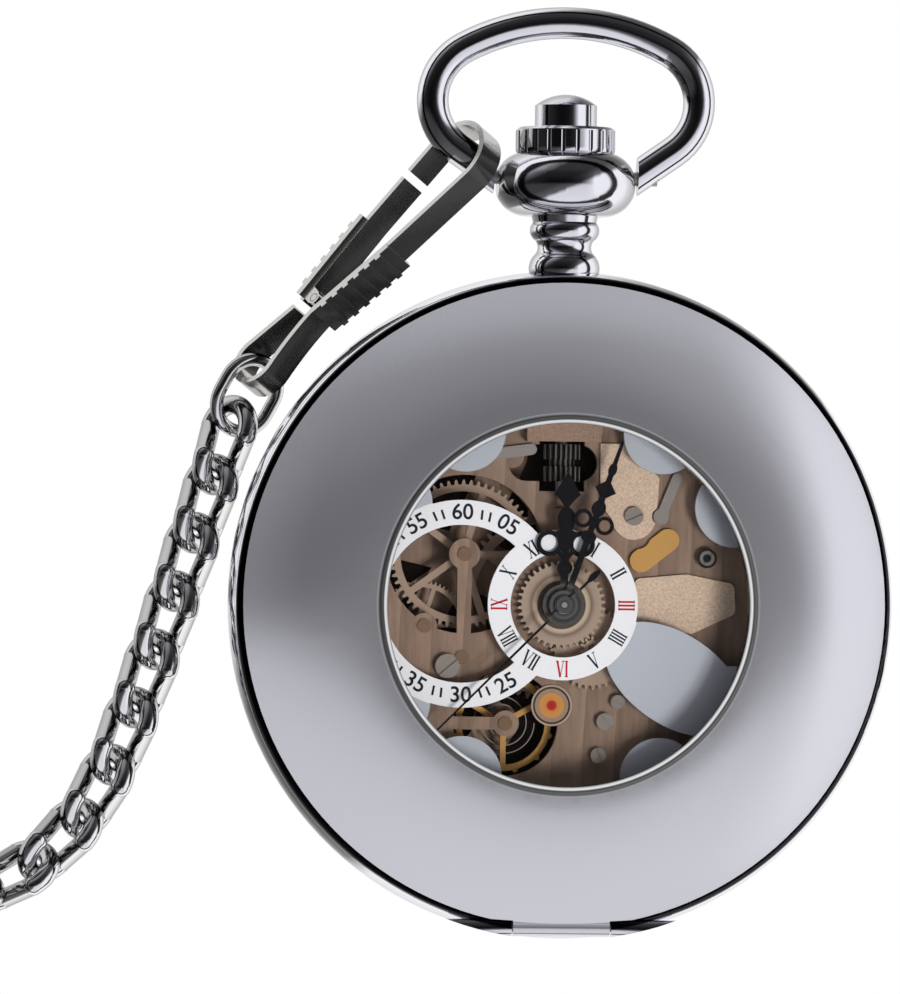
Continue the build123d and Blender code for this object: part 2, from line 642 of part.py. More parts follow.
def hour_wheel():
    turn = mesh_turn(minute_pinion_turn, MINUTE_PINION_TEETH, HOUR_WHEEL_TEETH, MINUTE_WHEEL_CLOCK + 180)
    wheel = gear(minute_pinion_module, HOUR_WHEEL_TEETH, hour_wheel_z, hour_wheel_z + WHEEL_T, turn=turn)
    pipe = disc(HOUR_PIPE_R, hour_wheel_z, hour_z + HAND_T)
    return wheel + pipe - disc(CANNON_PIPE_R + RUN, 0, 12)


def cannon_pinion():
    teeth = gear(MOTION_MODULE, CANNON_TEETH, cannon_z, cannon_z + 0.35, turn=0)
    pipe = disc(CANNON_PIPE_R, cannon_z, minute_z + HAND_T)
    return teeth + pipe - disc(CENTRE_ARBOR_R + FIT, 0, 12)


def minute_wheel():
    wheel = gear(MOTION_MODULE, MINUTE_WHEEL_TEETH, cannon_z + GAP, cannon_z + GAP + WHEEL_T,
                 minute_wheel_at, minute_wheel_turn)
    pinion = gear(minute_pinion_module, MINUTE_PINION_TEETH,
                  cannon_z + GAP + WHEEL_T, hour_wheel_z + WHEEL_T + 0.1,
                  minute_wheel_at, minute_pinion_turn)
    return wheel + pinion - disc(ARBOR_R + RUN, 0, 12, *minute_wheel_at)


def centre_wheel():
    wheel = gear(CENTRE_MODULE, CENTRE_TEETH, centre_wheel_z, centre_wheel_z + WHEEL_T, spokes=5, hub=1.3)
    pinion = gear(BARREL_MODULE, CENTRE_PINION_TEETH, barrel_top_z - 0.4, barrel_top_z + 0.1)
    arbor = disc(CENTRE_ARBOR_R, bridge_top_z - 0.4, cannon_z + 1.2)
    arbor += disc(0.75, centre_wheel_z, barrel_top_z - 0.3)
    return wheel + pinion + arbor - disc(SECOND_ARBOR_R + RUN, 0, 12)


def second_arbor():
    arbor = disc(SECOND_ARBOR_R, sweep_z - 0.1, second_z + HAND_T + 0.05)
    turn = mesh_turn(0, SWEEP_TEETH, SWEEP_PINION_TEETH, THIRD_CLOCK + 180)
    pinion = gear(sweep_module, SWEEP_PINION_TEETH, sweep_z - 0.05, sweep_z + WHEEL_T + 0.05, turn=turn)
    return arbor + pinion


def third_wheel():
    pinion_turn = mesh_turn(0, CENTRE_TEETH, THIRD_PINION_TEETH, THIRD_CLOCK)
    body = gear(CENTRE_MODULE, THIRD_PINION_TEETH, centre_wheel_z - 0.1, centre_wheel_z + WHEEL_T + 0.1,
                third_at, pinion_turn)
    wheel_top = third_wheel_z + WHEEL_T
    body += gear(THIRD_MODULE, THIRD_TEETH, third_wheel_z, wheel_top, third_at, spokes=5, hub=0.9)
    body += gear(sweep_module, SWEEP_TEETH, sweep_z, sweep_z + WHEEL_T, third_at, spokes=5, hub=0.9)
    return body + disc(ARBOR_R, sweep_z - 0.1, PLATE_Z + 0.4, *third_at)


def fourth_wheel():
    pinion_turn = mesh_turn(0, THIRD_TEETH, FOURTH_PINION_TEETH, FOURTH_CLOCK)
    body = gear(THIRD_MODULE, FOURTH_PINION_TEETH, third_wheel_z - 0.1, third_wheel_z + WHEEL_T + 0.1,
                fourth_at, pinion_turn)
    wheel_top = fourth_wheel_z + WHEEL_T
    body += gear(FOURTH_MODULE, FOURTH_TEETH, fourth_wheel_z, wheel_top, fourth_at, spokes=5, hub=0.6)
    return body + disc(ARBOR_R, bridge_top_z - 0.4, PLATE_Z + 0.4, *fourth_at)


def escape_wheel():
    pinion_turn = mesh_turn(0, FOURTH_TEETH, ESCAPE_PINION_TEETH, ESCAPE_CLOCK)
    body = gear(FOURTH_MODULE, ESCAPE_PINION_TEETH, fourth_wheel_z - 0.1, fourth_wheel_z + WHEEL_T + 0.1,
                escape_at, pinion_turn)
    points = []
    step = 360 / ESCAPE_TEETH
    for i in range(ESCAPE_TEETH):
        points += [clock(ESCAPE_R * 0.72, i * step), clock(ESCAPE_R, (i + 0.62) * step),
                   clock(ESCAPE_R * 0.97, (i + 0.8) * step), clock(ESCAPE_R * 0.72, (i + 0.7) * step)]
    face = make_face(Polyline(*points, close=True)) - (Circle(ESCAPE_R * 0.6) - Circle(0.42))
    face += Rectangle(ESCAPE_R * 1.3, 0.22) + Rectangle(0.22, ESCAPE_R * 1.3)
    body += Pos(*escape_at, 0) * plate(face, centre_wheel_z - 0.35, centre_wheel_z - 0.2)
    return body + disc(ARBOR_R, bridge_top_z - 0.4, PLATE_Z + 0.4, *escape_at)


def pallet_fork():
    """Two-armed anchor and fork between escape wheel and balance, on its own arbor."""
    way = degrees(atan2(pallet_way[0], pallet_way[1]))
    reach = hypot(BALANCE_X - pallet_at[0], BALANCE_Y - pallet_at[1]) - 0.95
    face = Circle(0.4) + Pos(0, reach / 2) * Rectangle(0.2, reach)
    face += Pos(0, reach) * (Rectangle(0.5, 0.34) - Pos(0, 0.1) * Rectangle(0.2, 0.2))
    arm = ESCAPE_R * 0.92
    for side in (1, -1):
        face += Pos(side * arm / 2, -0.1) * Rot(0, 0, side * -8) * Rectangle(arm, 0.24)
        face += Pos(side * arm, -0.28) * Rectangle(0.26, 0.34)
    body = plate(face, centre_wheel_z - 0.35, centre_wheel_z - 0.2)
    arbor = disc(PIVOT_R, bridge_top_z - 0.4, balance_z - 2 * GAP)
    return Pos(*pallet_at, 0) * Rot(0, 0, -way) * (body + arbor)


balance_z = third_wheel_z - 0.3


def balance_wheel():
    rim = Circle(BALANCE_R) - Circle(BALANCE_R - 0.45)
    for angle in (30, 150, 270):
        rim += Rot(0, 0, angle) * Pos(BALANCE_R / 2, 0) * Rectangle(BALANCE_R - 0.3, 0.4)
    rim += Circle(0.6)
    body = plate(rim, balance_z, balance_z + 0.4)
    for i in range(12):
        x, y = clock(BALANCE_R, i * 30 + 15)
        body += disc(0.2, balance_z + 0.05, balance_z + 0.35, x, y)
    body += disc(ARBOR_R, bridge_top_z - 0.4, PLATE_Z + 0.4)
    body += disc(0.5, centre_wheel_z - 0.1, centre_wheel_z + 0.05)
    return Pos(BALANCE_X, BALANCE_Y, 0) * body


def hairspring():
    turns, inner, outer = 3, 0.62, 2.3
    z = centre_wheel_z + 0.3
    half = 0.04
    step = (outer - inner) / (2 * turns)
    edges_in, edges_out = [], []
    for i in range(2 * turns):
        r0, r1 = inner + i * step, inner + (i + 1) * step
        sign = 1 if i % 2 == 0 else -1
        for edges, shift in ((edges_in, -half), (edges_out, half)):
            a = (sign * (r0 + shift), 0)
            b = (-sign * (r1 + shift), 0)
            middle = ((a[0] + b[0]) / 2, sign * (r0 + r1 + 2 * shift) / 2)
            edges.append(ThreePointArc(a, middle, b))
    ends = [Line(edges_in[0] @ 0, edges_out[0] @ 0), Line(edges_in[-1] @ 1, edges_out[-1] @ 1)]
    face = make_face(Curve() + edges_in + edges_out + ends)
    return Pos(BALANCE_X, BALANCE_Y, 0) * plate(face, z, z + 0.2)


def mainspring_barrel():
    body = gear(BARREL_MODULE, BARREL_TEETH, barrel_top_z - 0.3, barrel_top_z,
                turn=mesh_turn(0, CENTRE_PINION_TEETH, BARREL_TEETH, BARREL_CLOCK))
    drum_r = BARREL_MODULE * BARREL_TEETH / 2 - 1.2
    body += disc(drum_r, barrel_z, barrel_top_z)
    body -= disc(drum_r - 0.4, barrel_z + 0.25, barrel_top_z - 0.2)
    body -= disc(0.8 + RUN, 0, 12)
    return Pos(*barrel_at, 0) * body


def mainspring():
    """Coiled ribbon against the barrel wall, drawn as three closed turns."""
    drum_r = BARREL_MODULE * BARREL_TEETH / 2 - 1.2
    coils = [ring(r, r - 0.3, barrel_z + 0.35, barrel_top_z - 0.3, *barrel_at)
             for r in (drum_r - 0.5, drum_r - 1.0, drum_r - 1.5)]
    return Compound(children=coils)


def barrel_arbor():
    return (disc(0.8, barrel_z - 0.1, barrel_top_z + 0.1, *barrel_at)
            + disc(0.5, sweep_z - 0.1, PLATE_Z + 0.4, *barrel_at))


def ratchet_wheel():
    teeth = gear(0.2, 34, sweep_z, sweep_z + 0.25, turn=4)
    return Pos(*barrel_at, 0) * (teeth - disc(0.5, 0, 12))


def click():
    """Pawl that holds the ratchet wheel, on its own screw."""
    x, y = clock(4.6, 200)
    face = Circle(0.6) + Pos(-0.9, 0.35) * Rot(0, 0, -22) * Rectangle(1.6, 0.4)
    return Pos(barrel_at[0] + x, barrel_at[1] + y, 0) * plate(face, sweep_z, BRIDGE_Z)


# ---------------------------------------------------------------- plates and keyless work
CLUTCH_Y = 10.0
CLUTCH_R = 1.3
CLUTCH_LEN = 2.6
WINDING_PINION_Y = 13.4


def main_plate():
    body = disc(PLATE_R, PLATE_Z, PLATE_Z + PLATE_T)
    stem_slot = Box(2 * CLUTCH_R + 0.6, PLATE_R - 8.0 + 1, 4)
    body -= Pos(0, 8.0 + (PLATE_R - 8.0 + 1) / 2, CASE_MID_Z) * stem_slot
    body -= plate(Pos(-0.65, 10.0) * SlotOverall(6.3, 2.6), PLATE_Z - 1, PLATE_Z + 2)
    window = Pos(third_at[0], third_at[1]) * (Circle(5.6) - Circle(1.1))
    window -= Circle(HOUR_RING_IN_R + 0.6)
    window -= Pos(third_at[0], third_at[1] - 3) * Rectangle(1.0, 6) + Pos(*fourth_at) * Circle(0.9)
    body -= plate(window, PLATE_Z - 1, PLATE_Z + 2)
    low = Pos(BALANCE_X, BALANCE_Y) * (Circle(BALANCE_R + 0.3) - Circle(0.9))
    low -= Pos(BALANCE_X - 2, BALANCE_Y) * Rectangle(4, 0.9)
    low -= Circle(HOUR_RING_IN_R + 0.6)
    body -= plate(low, PLATE_Z - 1, PLATE_Z + 2)
    body -= disc(CENTRE_ARBOR_R + RUN, 0, 12) + rod_y(0.45 + RUN, 6.8, 8.5)
    for at in (third_at, fourth_at, escape_at, (BALANCE_X, BALANCE_Y)):
        body -= disc(ARBOR_R + RUN, PLATE_Z - 1, PLATE_Z + 0.45, *at)
    body -= disc(0.5 + FIT, PLATE_Z - 1, PLATE_Z + 0.45, *barrel_at)
    body += disc(ARBOR_R, plate_top_z, hour_wheel_z + WHEEL_T + 0.15, *minute_wheel_at)
    return body


def movement_ring():
    """Ring that fills the space between plate and band, and carries the dial."""
    body = ring(BAND_BORE_R - RUN, PLATE_R + FIT, PLATE_Z - 1.2, DIAL_Z)
    body += ring(BAND_BORE_R - RUN, PLATE_R - 0.6, PLATE_Z - 1.2, PLATE_Z)
    return body - rod_y(TUBE_R, 10, 30)


def arm(a, b, width):
    """Flat bar with round ends from point a to point b."""
    turn = degrees(atan2(b[1] - a[1], b[0] - a[0]))
    middle = Pos((a[0] + b[0]) / 2, (a[1] + b[1]) / 2)
    return middle * Rot(0, 0, turn) * SlotCenterToCenter(hypot(b[0] - a[0], b[1] - a[1]), width)


def standing(outline, feet, foot_r=0.9):
    """Bridge of the given outline on round feet that reach the main plate."""
    body = plate(outline & Circle(PLATE_R - 1.5), BRIDGE_Z, bridge_top_z)
    for x, y in feet:
        body += disc(foot_r, bridge_top_z, PLATE_Z, x, y)
    return body


def barrel_bridge():
    cover = Pos(12.6, 6.0) * Rectangle(19, 28)
    feet = [clock(PLATE_R - 2.9, angle) for angle in (22, 85, 112)]
    return standing(cover, feet) - disc(0.5 + FIT, 0, 12, *barrel_at)


def train_bridge():
    feet = [(-13.3, 5.0), (-3.5, 10.5)]
    cover = arm((0, 0), third_at, 3.6) + arm(third_at, fourth_at, 2.6)
    for foot in feet:
        cover += arm(third_at, foot, 2.8)
    body = standing(cover, feet)
    body -= disc(ARBOR_R + RUN, bridge_top_z - 0.45, bridge_top_z + 1, *fourth_at)
    body -= disc(ARBOR_R + RUN, BRIDGE_Z - 1, bridge_top_z + 1, *third_at)
    body -= disc(CENTRE_ARBOR_R + RUN, bridge_top_z - 0.45, bridge_top_z + 1)
    return body - disc(SECOND_ARBOR_R + RUN, BRIDGE_Z - 1, bridge_top_z)


def balance_cock():
    foot = (BALANCE_X - 4.6, BALANCE_Y - 6.3)
    cover = arm(foot, (BALANCE_X, BALANCE_Y), 2.6) + arm((BALANCE_X, BALANCE_Y), pallet_at, 1.6)
    cover += arm(pallet_at, escape_at, 1.6)
    body = standing(cover, [foot])
    for at, r in (((BALANCE_X, BALANCE_Y), ARBOR_R), (pallet_at, PIVOT_R), (escape_at, ARBOR_R)):
        body -= disc(r + RUN, bridge_top_z - 0.45, bridge_top_z + 1, *at)
    return body


def clutch_wheel():
    body = rod_y(CLUTCH_R, CLUTCH_Y - CLUTCH_LEN / 2, CLUTCH_Y + CLUTCH_LEN / 2)
    body -= rod_y(CLUTCH_R + 1, CLUTCH_Y - 0.25, CLUTCH_Y + 0.25) - rod_y(CLUTCH_R - 0.4, 0, 30)
    for i in range(16):
        angle = radians(i * 22.5)
        x, z = (CLUTCH_R + 0.05) * cos(angle), (CLUTCH_R + 0.05) * sin(angle)
        body -= rod_y(0.14, CLUTCH_Y - 2, CLUTCH_Y + 2, x, CASE_MID_Z + z)
    return body - rod_y(0.45, 0, 30)


def winding_pinion():
    body = rod_y(CLUTCH_R, WINDING_PINION_Y - 0.8, WINDING_PINION_Y + 0.8)
    for i in range(14):
        angle = radians(i * 360 / 14)
        x, z = CLUTCH_R * cos(angle), CLUTCH_R * sin(angle)
        body -= rod_y(0.16, WINDING_PINION_Y - 2, WINDING_PINION_Y + 2, x, CASE_MID_Z + z)
    return body - rod_y(0.45 + RUN, 0, 30)


SCREWS = [(-8.0, -4.4, 0.85), (-13.3, 5.0, 0.7), (5.1, 6.3, 0.65), (10.3, 3.4, 0.7), (3.2, -8.2, 0.6),
          (2.75, -10.6, 0.55), (4.1, -6.8, 0.5), (9.6, 9.9, 0.6)]


def screw_holes():
    return Sketch() + [Pos(x, y) * Circle(r * 0.4 + FIT) for x, y, r in SCREWS]


def on_plate(face, thick=0.35, lift=0.0):
    return plate(face, plate_top_z + lift, plate_top_z + lift + thick)


def lever_outline(room=0.0):
    at = Pos(7.6, 7.7) * Rot(0, 0, 68)
    return at * SlotOverall(3.6 + 2 * room, 0.7 + 2 * room) + at * Pos(-1.5, 0) * Circle(0.55 + room)


def setting_lever():
    """Slim lever right of the cover plate."""
    return on_plate(lever_outline(), 0.4)


def yoke():
    face = Pos(-4.6, 10.6) * Rot(0, 0, 8) * SlotOverall(5.6, 0.8)
    face += Pos(-7.6, 11.6) * Rot(0, 0, -38) * SlotOverall(3.4, 0.9)
    return on_plate(face, 0.35)


def stem_cover():
    """Thin bridge over the stem between the oval window and the band."""
    middle = (COVER_Y0 + COVER_Y1) / 2
    length = COVER_Y1 - COVER_Y0
    under = DIAL_Z - FIT - COVER_T
    top = plate(Pos(0, middle) * Rectangle(2 * COVER_HALF, length), under, under + COVER_T)
    for side in (1, -1):
        foot = Pos(side * (COVER_HALF - 0.2), middle) * Rectangle(0.4, length)
        top += plate(foot, plate_top_z, under + COVER_T / 2)
    return top


def setting_cover():
    """Bead-blasted cover plate of the keyless work, right of the stem, and the bridge over the stem."""
    corners = [(2.7, 7.2), (2.7, 11.4), (4.4, 11.4), (6.9, 9.0), (6.7, 6.2), (4.2, 5.2)]
    face = make_face(Polyline(*corners, close=True)) + Pos(5.1, 6.2) * Circle(1.55)
    face -= lever_outline(GAP)
    return group([on_plate(face - screw_holes(), 0.3), stem_cover()])


def kidney_lever():
    face = Pos(6.6, 3.9) * Rot(0, 0, 38) * SlotOverall(4.0, 1.6)
    face -= Pos(5.4, 4.9) * Circle(0.9)
    return on_plate(face, 0.35)


def barrel_cover():
    """Rounded six-sided plate at 3 o'clock."""
    corners = [(5.2, 1.9), (8.9, 2.25), (12.3, 1.6), (12.4, -0.5), (9.3, -1.95), (5.2, -1.2)]
    face = make_face(Polyline(*corners, close=True))
    face = fillet(face.vertices(), 0.5)
    face -= Pos(6.6, 3.9) * Rot(0, 0, 38) * SlotOverall(4.0 + 4 * GAP, 1.6 + 4 * GAP)
    face -= Circle(4.2) + Pos(*minute_wheel_at) * Circle(3.1)
    return on_plate(face - screw_holes(), 0.3)


def plate_screws():
    screws = []
    for x, y, r in SCREWS:
        screw = disc(r, plate_top_z + 0.36, plate_top_z + 0.66, x, y)
        screw -= Pos(x, y, plate_top_z + 0.66) * Rot(0, 0, 40 * x) * Box(3, 0.22, 0.3)
        screws.append(screw + disc(r * 0.4, plate_top_z, plate_top_z + 0.4, x, y))
    return screws


def jewels():
    """Ruby end stones on the plate, one over each pivot of the train."""
    stones = []
    for x, y in (third_at, fourth_at, escape_at, (BALANCE_X, BALANCE_Y), pallet_at):
        stones.append(disc(0.5, plate_top_z, plate_top_z + 0.12, x, y))
    stones.append(disc(0.55, plate_top_z, plate_top_z + 0.15, -0.7, -7.2))
    return stones


# ---------------------------------------------------------------- clasp
def flat_dir(heading):
    return Vector(cos(radians(heading)), sin(radians(heading)), 0)


bow_foot_x = BOW_SIDE_X + BOW_SIDE_R * cos(radians(BOW_SIDE_END))
bow_foot_y = BOW_PIVOT_Y + BOW_SIDE_UP - BOW_SIDE_R * sin(radians(BOW_SIDE_END))
bow_slope = cos(radians(BOW_SIDE_END)) / sin(radians(BOW_SIDE_END))
clasp_at_bow = Vector(CLASP_BOW_X, bow_foot_y - (bow_foot_x + CLASP_BOW_X) * bow_slope, CASE_MID_Z)


def clasp_plane(at_wire, heading, drop, roll, hang):
    """Plane of a clasp loop: x along the clasp, y across it, z along the width of the strip."""
    level = flat_dir(heading)
    along = level * cos(radians(drop)) - Vector(0, 0, sin(radians(drop)))
    side = Vector(-level.Y, level.X, 0)
    lift = along.cross(side)
    wide = side * -sin(radians(roll)) + lift * cos(radians(roll))
    return Plane(origin=at_wire + along * hang, x_dir=along, z_dir=wide)


clasp_frame = clasp_plane(clasp_at_bow, CLASP_HEADING, CLASP_DROP, CLASP_ROLL, CLASP_HANG)


def grip_half(u):
    """Distance of either strip from the middle line between hook and waist."""
    if u < CLASP_GRIP_FROM:
        return CLASP_HOOK_R + (GRIP_HALF - CLASP_HOOK_R) * u / CLASP_GRIP_FROM
    span = (u - CLASP_GRIP_FROM) / (CLASP_GRIP_TO - CLASP_GRIP_FROM)
    return GRIP_HALF + (WAIST_HALF - GRIP_HALF) * span


def strip(edges, width=STRIP_W):
    return extrude(trace(Curve() + edges, STRIP_T), amount=width / 2, both=True)


def grip_pad(side):
    """Thumb grip: a plate on the outside of the strip with ribs across it."""
    start = Vector(CLASP_GRIP_FROM, side * grip_half(CLASP_GRIP_FROM), 0)
    end = Vector(CLASP_GRIP_TO, side * grip_half(CLASP_GRIP_TO), 0)
    slope = degrees(atan2(end.Y - start.Y, end.X - start.X))
    length = (end - start).length
    face = Pos(length / 2, side * (STRIP_T + GRIP_PAD_T) / 2) * Rectangle(length, GRIP_PAD_T)
    pitch = length / (RIB_COUNT + 1)
    for i in range(RIB_COUNT):
        y = side * (STRIP_T / 2 + GRIP_PAD_T + RIB_H / 2 - 0.02)
        face += Pos((i + 1) * pitch, y) * Rectangle(pitch * 0.45, RIB_H + 0.04)
    pad = extrude(face, amount=GRIP_PAD_W / 2, both=True)
    return Pos(start.X, start.Y, 0) * Rot(0, 0, slope) * pad


pin_u = CLASP_GRIP_TO - 0.6
pin_v = 0.0


def pin_lug(side, reach, bore):
    v = side * grip_half(pin_u)
    face = Pos(pin_u, pin_v) * Circle(CLASP_PIN_R + 0.2)
    face += Pos(pin_u, (v + pin_v) / 2) * Rectangle(2 * CLASP_PIN_R + 0.5, abs(v - pin_v))
    return extrude(face - Pos(pin_u, pin_v) * Circle(bore), amount=reach, both=True)


def clasp_hook_local():
    waist = CLASP_GRIP_TO
    loop_in = CLASP_LENGTH - 0.6
    edges = [
        Line((GATE_GAP_AT, -grip_half(GATE_GAP_AT)), (0, -CLASP_HOOK_R)),
        ThreePointArc((0, -CLASP_HOOK_R), (-CLASP_HOOK_R, 0), (0, CLASP_HOOK_R)),
        Line((0, CLASP_HOOK_R), (CLASP_GRIP_FROM, GRIP_HALF)),
        Line((CLASP_GRIP_FROM, GRIP_HALF), (waist, WAIST_HALF)),
        ThreePointArc((waist, WAIST_HALF), (waist + 1.9, WAIST_HALF + 0.18), (loop_in, CLASP_LOOP_R)),
        ThreePointArc((loop_in, CLASP_LOOP_R), (CLASP_LENGTH + CLASP_LOOP_R, 0), (loop_in, -CLASP_LOOP_R)),
        Line((loop_in, -CLASP_LOOP_R), (waist + 0.9, -WAIST_HALF - 0.15)),
    ]
    body = strip(edges) + grip_pad(1)
    lug = pin_lug(1, STRIP_W * 0.22, CLASP_PIN_R)
    return body + lug


def clasp_gate_local():
    start = GATE_GAP_AT + GATE_GAP
    edges = [
        Line((start, -grip_half(start)), (CLASP_GRIP_FROM, -GRIP_HALF)),
        Line((CLASP_GRIP_FROM, -GRIP_HALF), (CLASP_GRIP_TO + 0.2, -WAIST_HALF)),
    ]
    body = strip(edges) + grip_pad(-1)
    lug = pin_lug(-1, STRIP_W / 2, CLASP_PIN_R + RUN)
    room = Pos(pin_u, pin_v) * Circle(CLASP_PIN_R + 0.5) + Pos(pin_u, 1) * Rectangle(2, 2)
    return body + (lug - extrude(room, amount=STRIP_W * 0.22 + GAP, both=True))


def clasp_pin_local():
    return Pos(pin_u, pin_v, 0) * Cylinder(CLASP_PIN_R, STRIP_W)


# ---------------------------------------------------------------- ring and chain
ring_crossing = clasp_frame.from_local_coords(Vector(CLASP_LENGTH - RING_INSET, 0, 0))
ring_drop = 12.0


def oval_ring(half_length, half_width, wire_r):
    """Jump ring: oval of round wire lying in the local XY plane."""
    straight = half_length - half_width
    edges = [
        Line((-straight, half_width), (straight, half_width)),
        ThreePointArc((straight, half_width), (half_length, 0), (straight, -half_width)),
        Line((straight, -half_width), (-straight, -half_width)),
        ThreePointArc((-straight, -half_width), (-half_length, 0), (-straight, half_width)),
    ]
    path = Wire(edges)
    return sweep(Plane((0, half_width, 0), z_dir=(1, 0, 0)) * Circle(wire_r), path=path)


def ring_plane(crossing, heading, drop, clasp_wide, out=1):
    """Plane of a jump ring that hangs from a clasp loop; x runs away from the clasp."""
    along = flat_dir(heading) * cos(radians(drop)) - Vector(0, 0, sin(radians(drop)))
    across = clasp_wide - along * clasp_wide.dot(along)
    centre = crossing + along * RING_HALF_LENGTH * out
    frame = Plane(origin=centre, x_dir=along, z_dir=along.cross(across))
    return frame.rotated((RING_ROLL, 0, 0))


ring_frame = ring_plane(ring_crossing, RING_HEADING, ring_drop, clasp_frame.z_dir)
LINK_Z = LINK_WIRE_R + LINK_END_R * sin(radians(LINK_TILT)) + 2 * FIT
RING_TO_LINK = 3.9       # between the middles of a ring and the next link


def link():
    """One curb link: end bends tilted opposite ways, joined by two leaning sides."""
    straight = LINK_HALF_LENGTH - LINK_END_R
    arc = ThreePointArc((straight, LINK_END_R, 0), (LINK_HALF_LENGTH, 0, 0), (straight, -LINK_END_R, 0))
    bend = sweep(Plane(arc @ 0, z_dir=arc % 0) * Circle(LINK_WIRE_R), path=arc)
    half = Rot(-LINK_TILT, 0, 0) * bend
    high, wide = -LINK_END_R * sin(radians(LINK_TILT)), LINK_END_R * cos(radians(LINK_TILT))
    lean = degrees(atan2(straight, high))
    side = Pos(0, wide, 0) * Rot(0, lean, 0) * Cylinder(LINK_WIRE_R, 2 * hypot(straight, high))
    for end in (1, -1):
        side += Pos(end * straight, wide, end * high) * Sphere(LINK_WIRE_R + FIT)
    return half + side + Rot(0, 0, 180) * (half + side)


# Heading of each link along the part that lies in the open, in degrees from +X.
CHAIN_HEADINGS = [253, 252.5, 252, 252, 251, 249, 241, 226, 208, 195, 190, 188, 188, 188, 188, 188]
COIL_R = 26.5
COIL_LINKS = 35
COIL_STEP = 5.2          # distance between turns of the coil
TAIL_TURN = 20.0         # how sharply the last links turn into the coil, degrees
TAIL_LINKS = 3


def chain_headings():
    headings = list(CHAIN_HEADINGS)
    travelled = 0.0
    for _ in range(COIL_LINKS):
        radius = COIL_R - COIL_STEP * travelled / 360
        turn = degrees(LINK_PITCH / radius)
        travelled += turn
        headings.append(headings[-1] - turn)
    for _ in range(TAIL_LINKS):
        headings.append(headings[-1] - TAIL_TURN)
    return headings


def link_frames():
    headings = chain_headings()
    start = flat_dir(RING_HEADING + RING_LEAN) * RING_TO_LINK
    place = Vector(ring_frame.origin.X, ring_frame.origin.Y, LINK_Z) + start
    frames = []
    for i, heading in enumerate(headings):
        if i:
            place = place + (flat_dir(headings[i - 1]) + flat_dir(heading)) * (LINK_PITCH / 2)
        frames.append(Plane(origin=place, x_dir=flat_dir(heading), z_dir=(0, 0, 1)))
    return frames


frames = link_frames()
SEGMENTS = {"chain_first": (0, 3), "chain_second": (3, 7), "chain_coil": (7, len(frames))}
end_heading = chain_headings()[-1] - 12
end_ring_centre = frames[-1].origin + flat_dir(end_heading + 6) * RING_TO_LINK
end_along = flat_dir(end_heading) * cos(radians(END_RING_PITCH)) + Vector(0, 0, sin(radians(END_RING_PITCH)))
end_side = flat_dir(end_heading + 90)
end_across = end_side * cos(radians(END_RING_TILT)) + Vector(0, 0, sin(radians(END_RING_TILT)))
end_ring_z = RING_HALF_WIDTH * sin(radians(END_RING_TILT)) + RING_WIRE_R + GAP + FIT
end_ring_frame = Plane(origin=Vector(end_ring_centre.X, end_ring_centre.Y, end_ring_z), x_dir=end_along,
                       z_dir=end_along.cross(end_across))


# ---------------------------------------------------------------- write the parts
def placed(frame, shape):
    return frame.location * shape


def group(solids):
    return Compound(children=[s for shape in solids for s in shape.solids()])


def chain_nodes():
    one = link()
    return {name: group([placed(frames[i], one) for i in range(*span)]) for name, span in SEGMENTS.items()}


def end_clasp_frame():
    """The clasp at the far end lies on the surface inside the coil, its hook away from the chain."""
    heading = end_heading - END_CLASP_TURN
    crossing = end_ring_frame.from_local_coords(Vector(RING_HALF_LENGTH, 0, 0))
    flat = clasp_plane(crossing, heading + 180, END_CLASP_DROP, END_CLASP_ROLL, 0)
    start = flat.from_local_coords(Vector(RING_INSET - CLASP_LENGTH, 0, 0))
    return Plane(origin=start, x_dir=flat.x_dir, z_dir=flat.z_dir)


def chain_and_clasps():
    nodes = {
        "clasp_hook": placed(clasp_frame, group([clasp_hook_local(), clasp_pin_local()])),
        "clasp_gate": placed(clasp_frame, clasp_gate_local()),
        "chain_ring": placed(ring_frame, oval_ring(RING_HALF_LENGTH, RING_HALF_WIDTH, RING_WIRE_R)),
    }
    nodes.update(chain_nodes())
    far = end_clasp_frame()
    nodes["end_ring"] = placed(end_ring_frame, oval_ring(RING_HALF_LENGTH, RING_HALF_WIDTH, RING_WIRE_R))
    nodes["end_clasp_hook"] = placed(far, group([clasp_hook_local(), clasp_pin_local()]))
    nodes["end_clasp_gate"] = placed(far, clasp_gate_local())
    return nodes


def watch_nodes():
    return {
        "case_band": case_band(), "case_back": case_back(),
        "lid_springs": group([lid_latch(), lid_spring()]),
        "hinge_pin": hinge_pin(), "lid": lid(), "lid_crystal": lid_crystal(),
        "lid_crystal_ring": lid_crystal_ring(),
        "dial_bezel": dial_bezel(), "dial_crystal": dial_crystal(), "pendant": pendant(),
        "crown_tube": crown_tube(), "crown": crown(), "crown_button": crown_button(),
        "button_spring": button_spring(), "winding_stem": winding_stem(),
        "bow": bow(), "bow_pins": bow_pins(),
        "dial": dial(), "hour_hand": hour_hand(), "minute_hand": minute_hand(), "second_hand": second_hand(),
    }


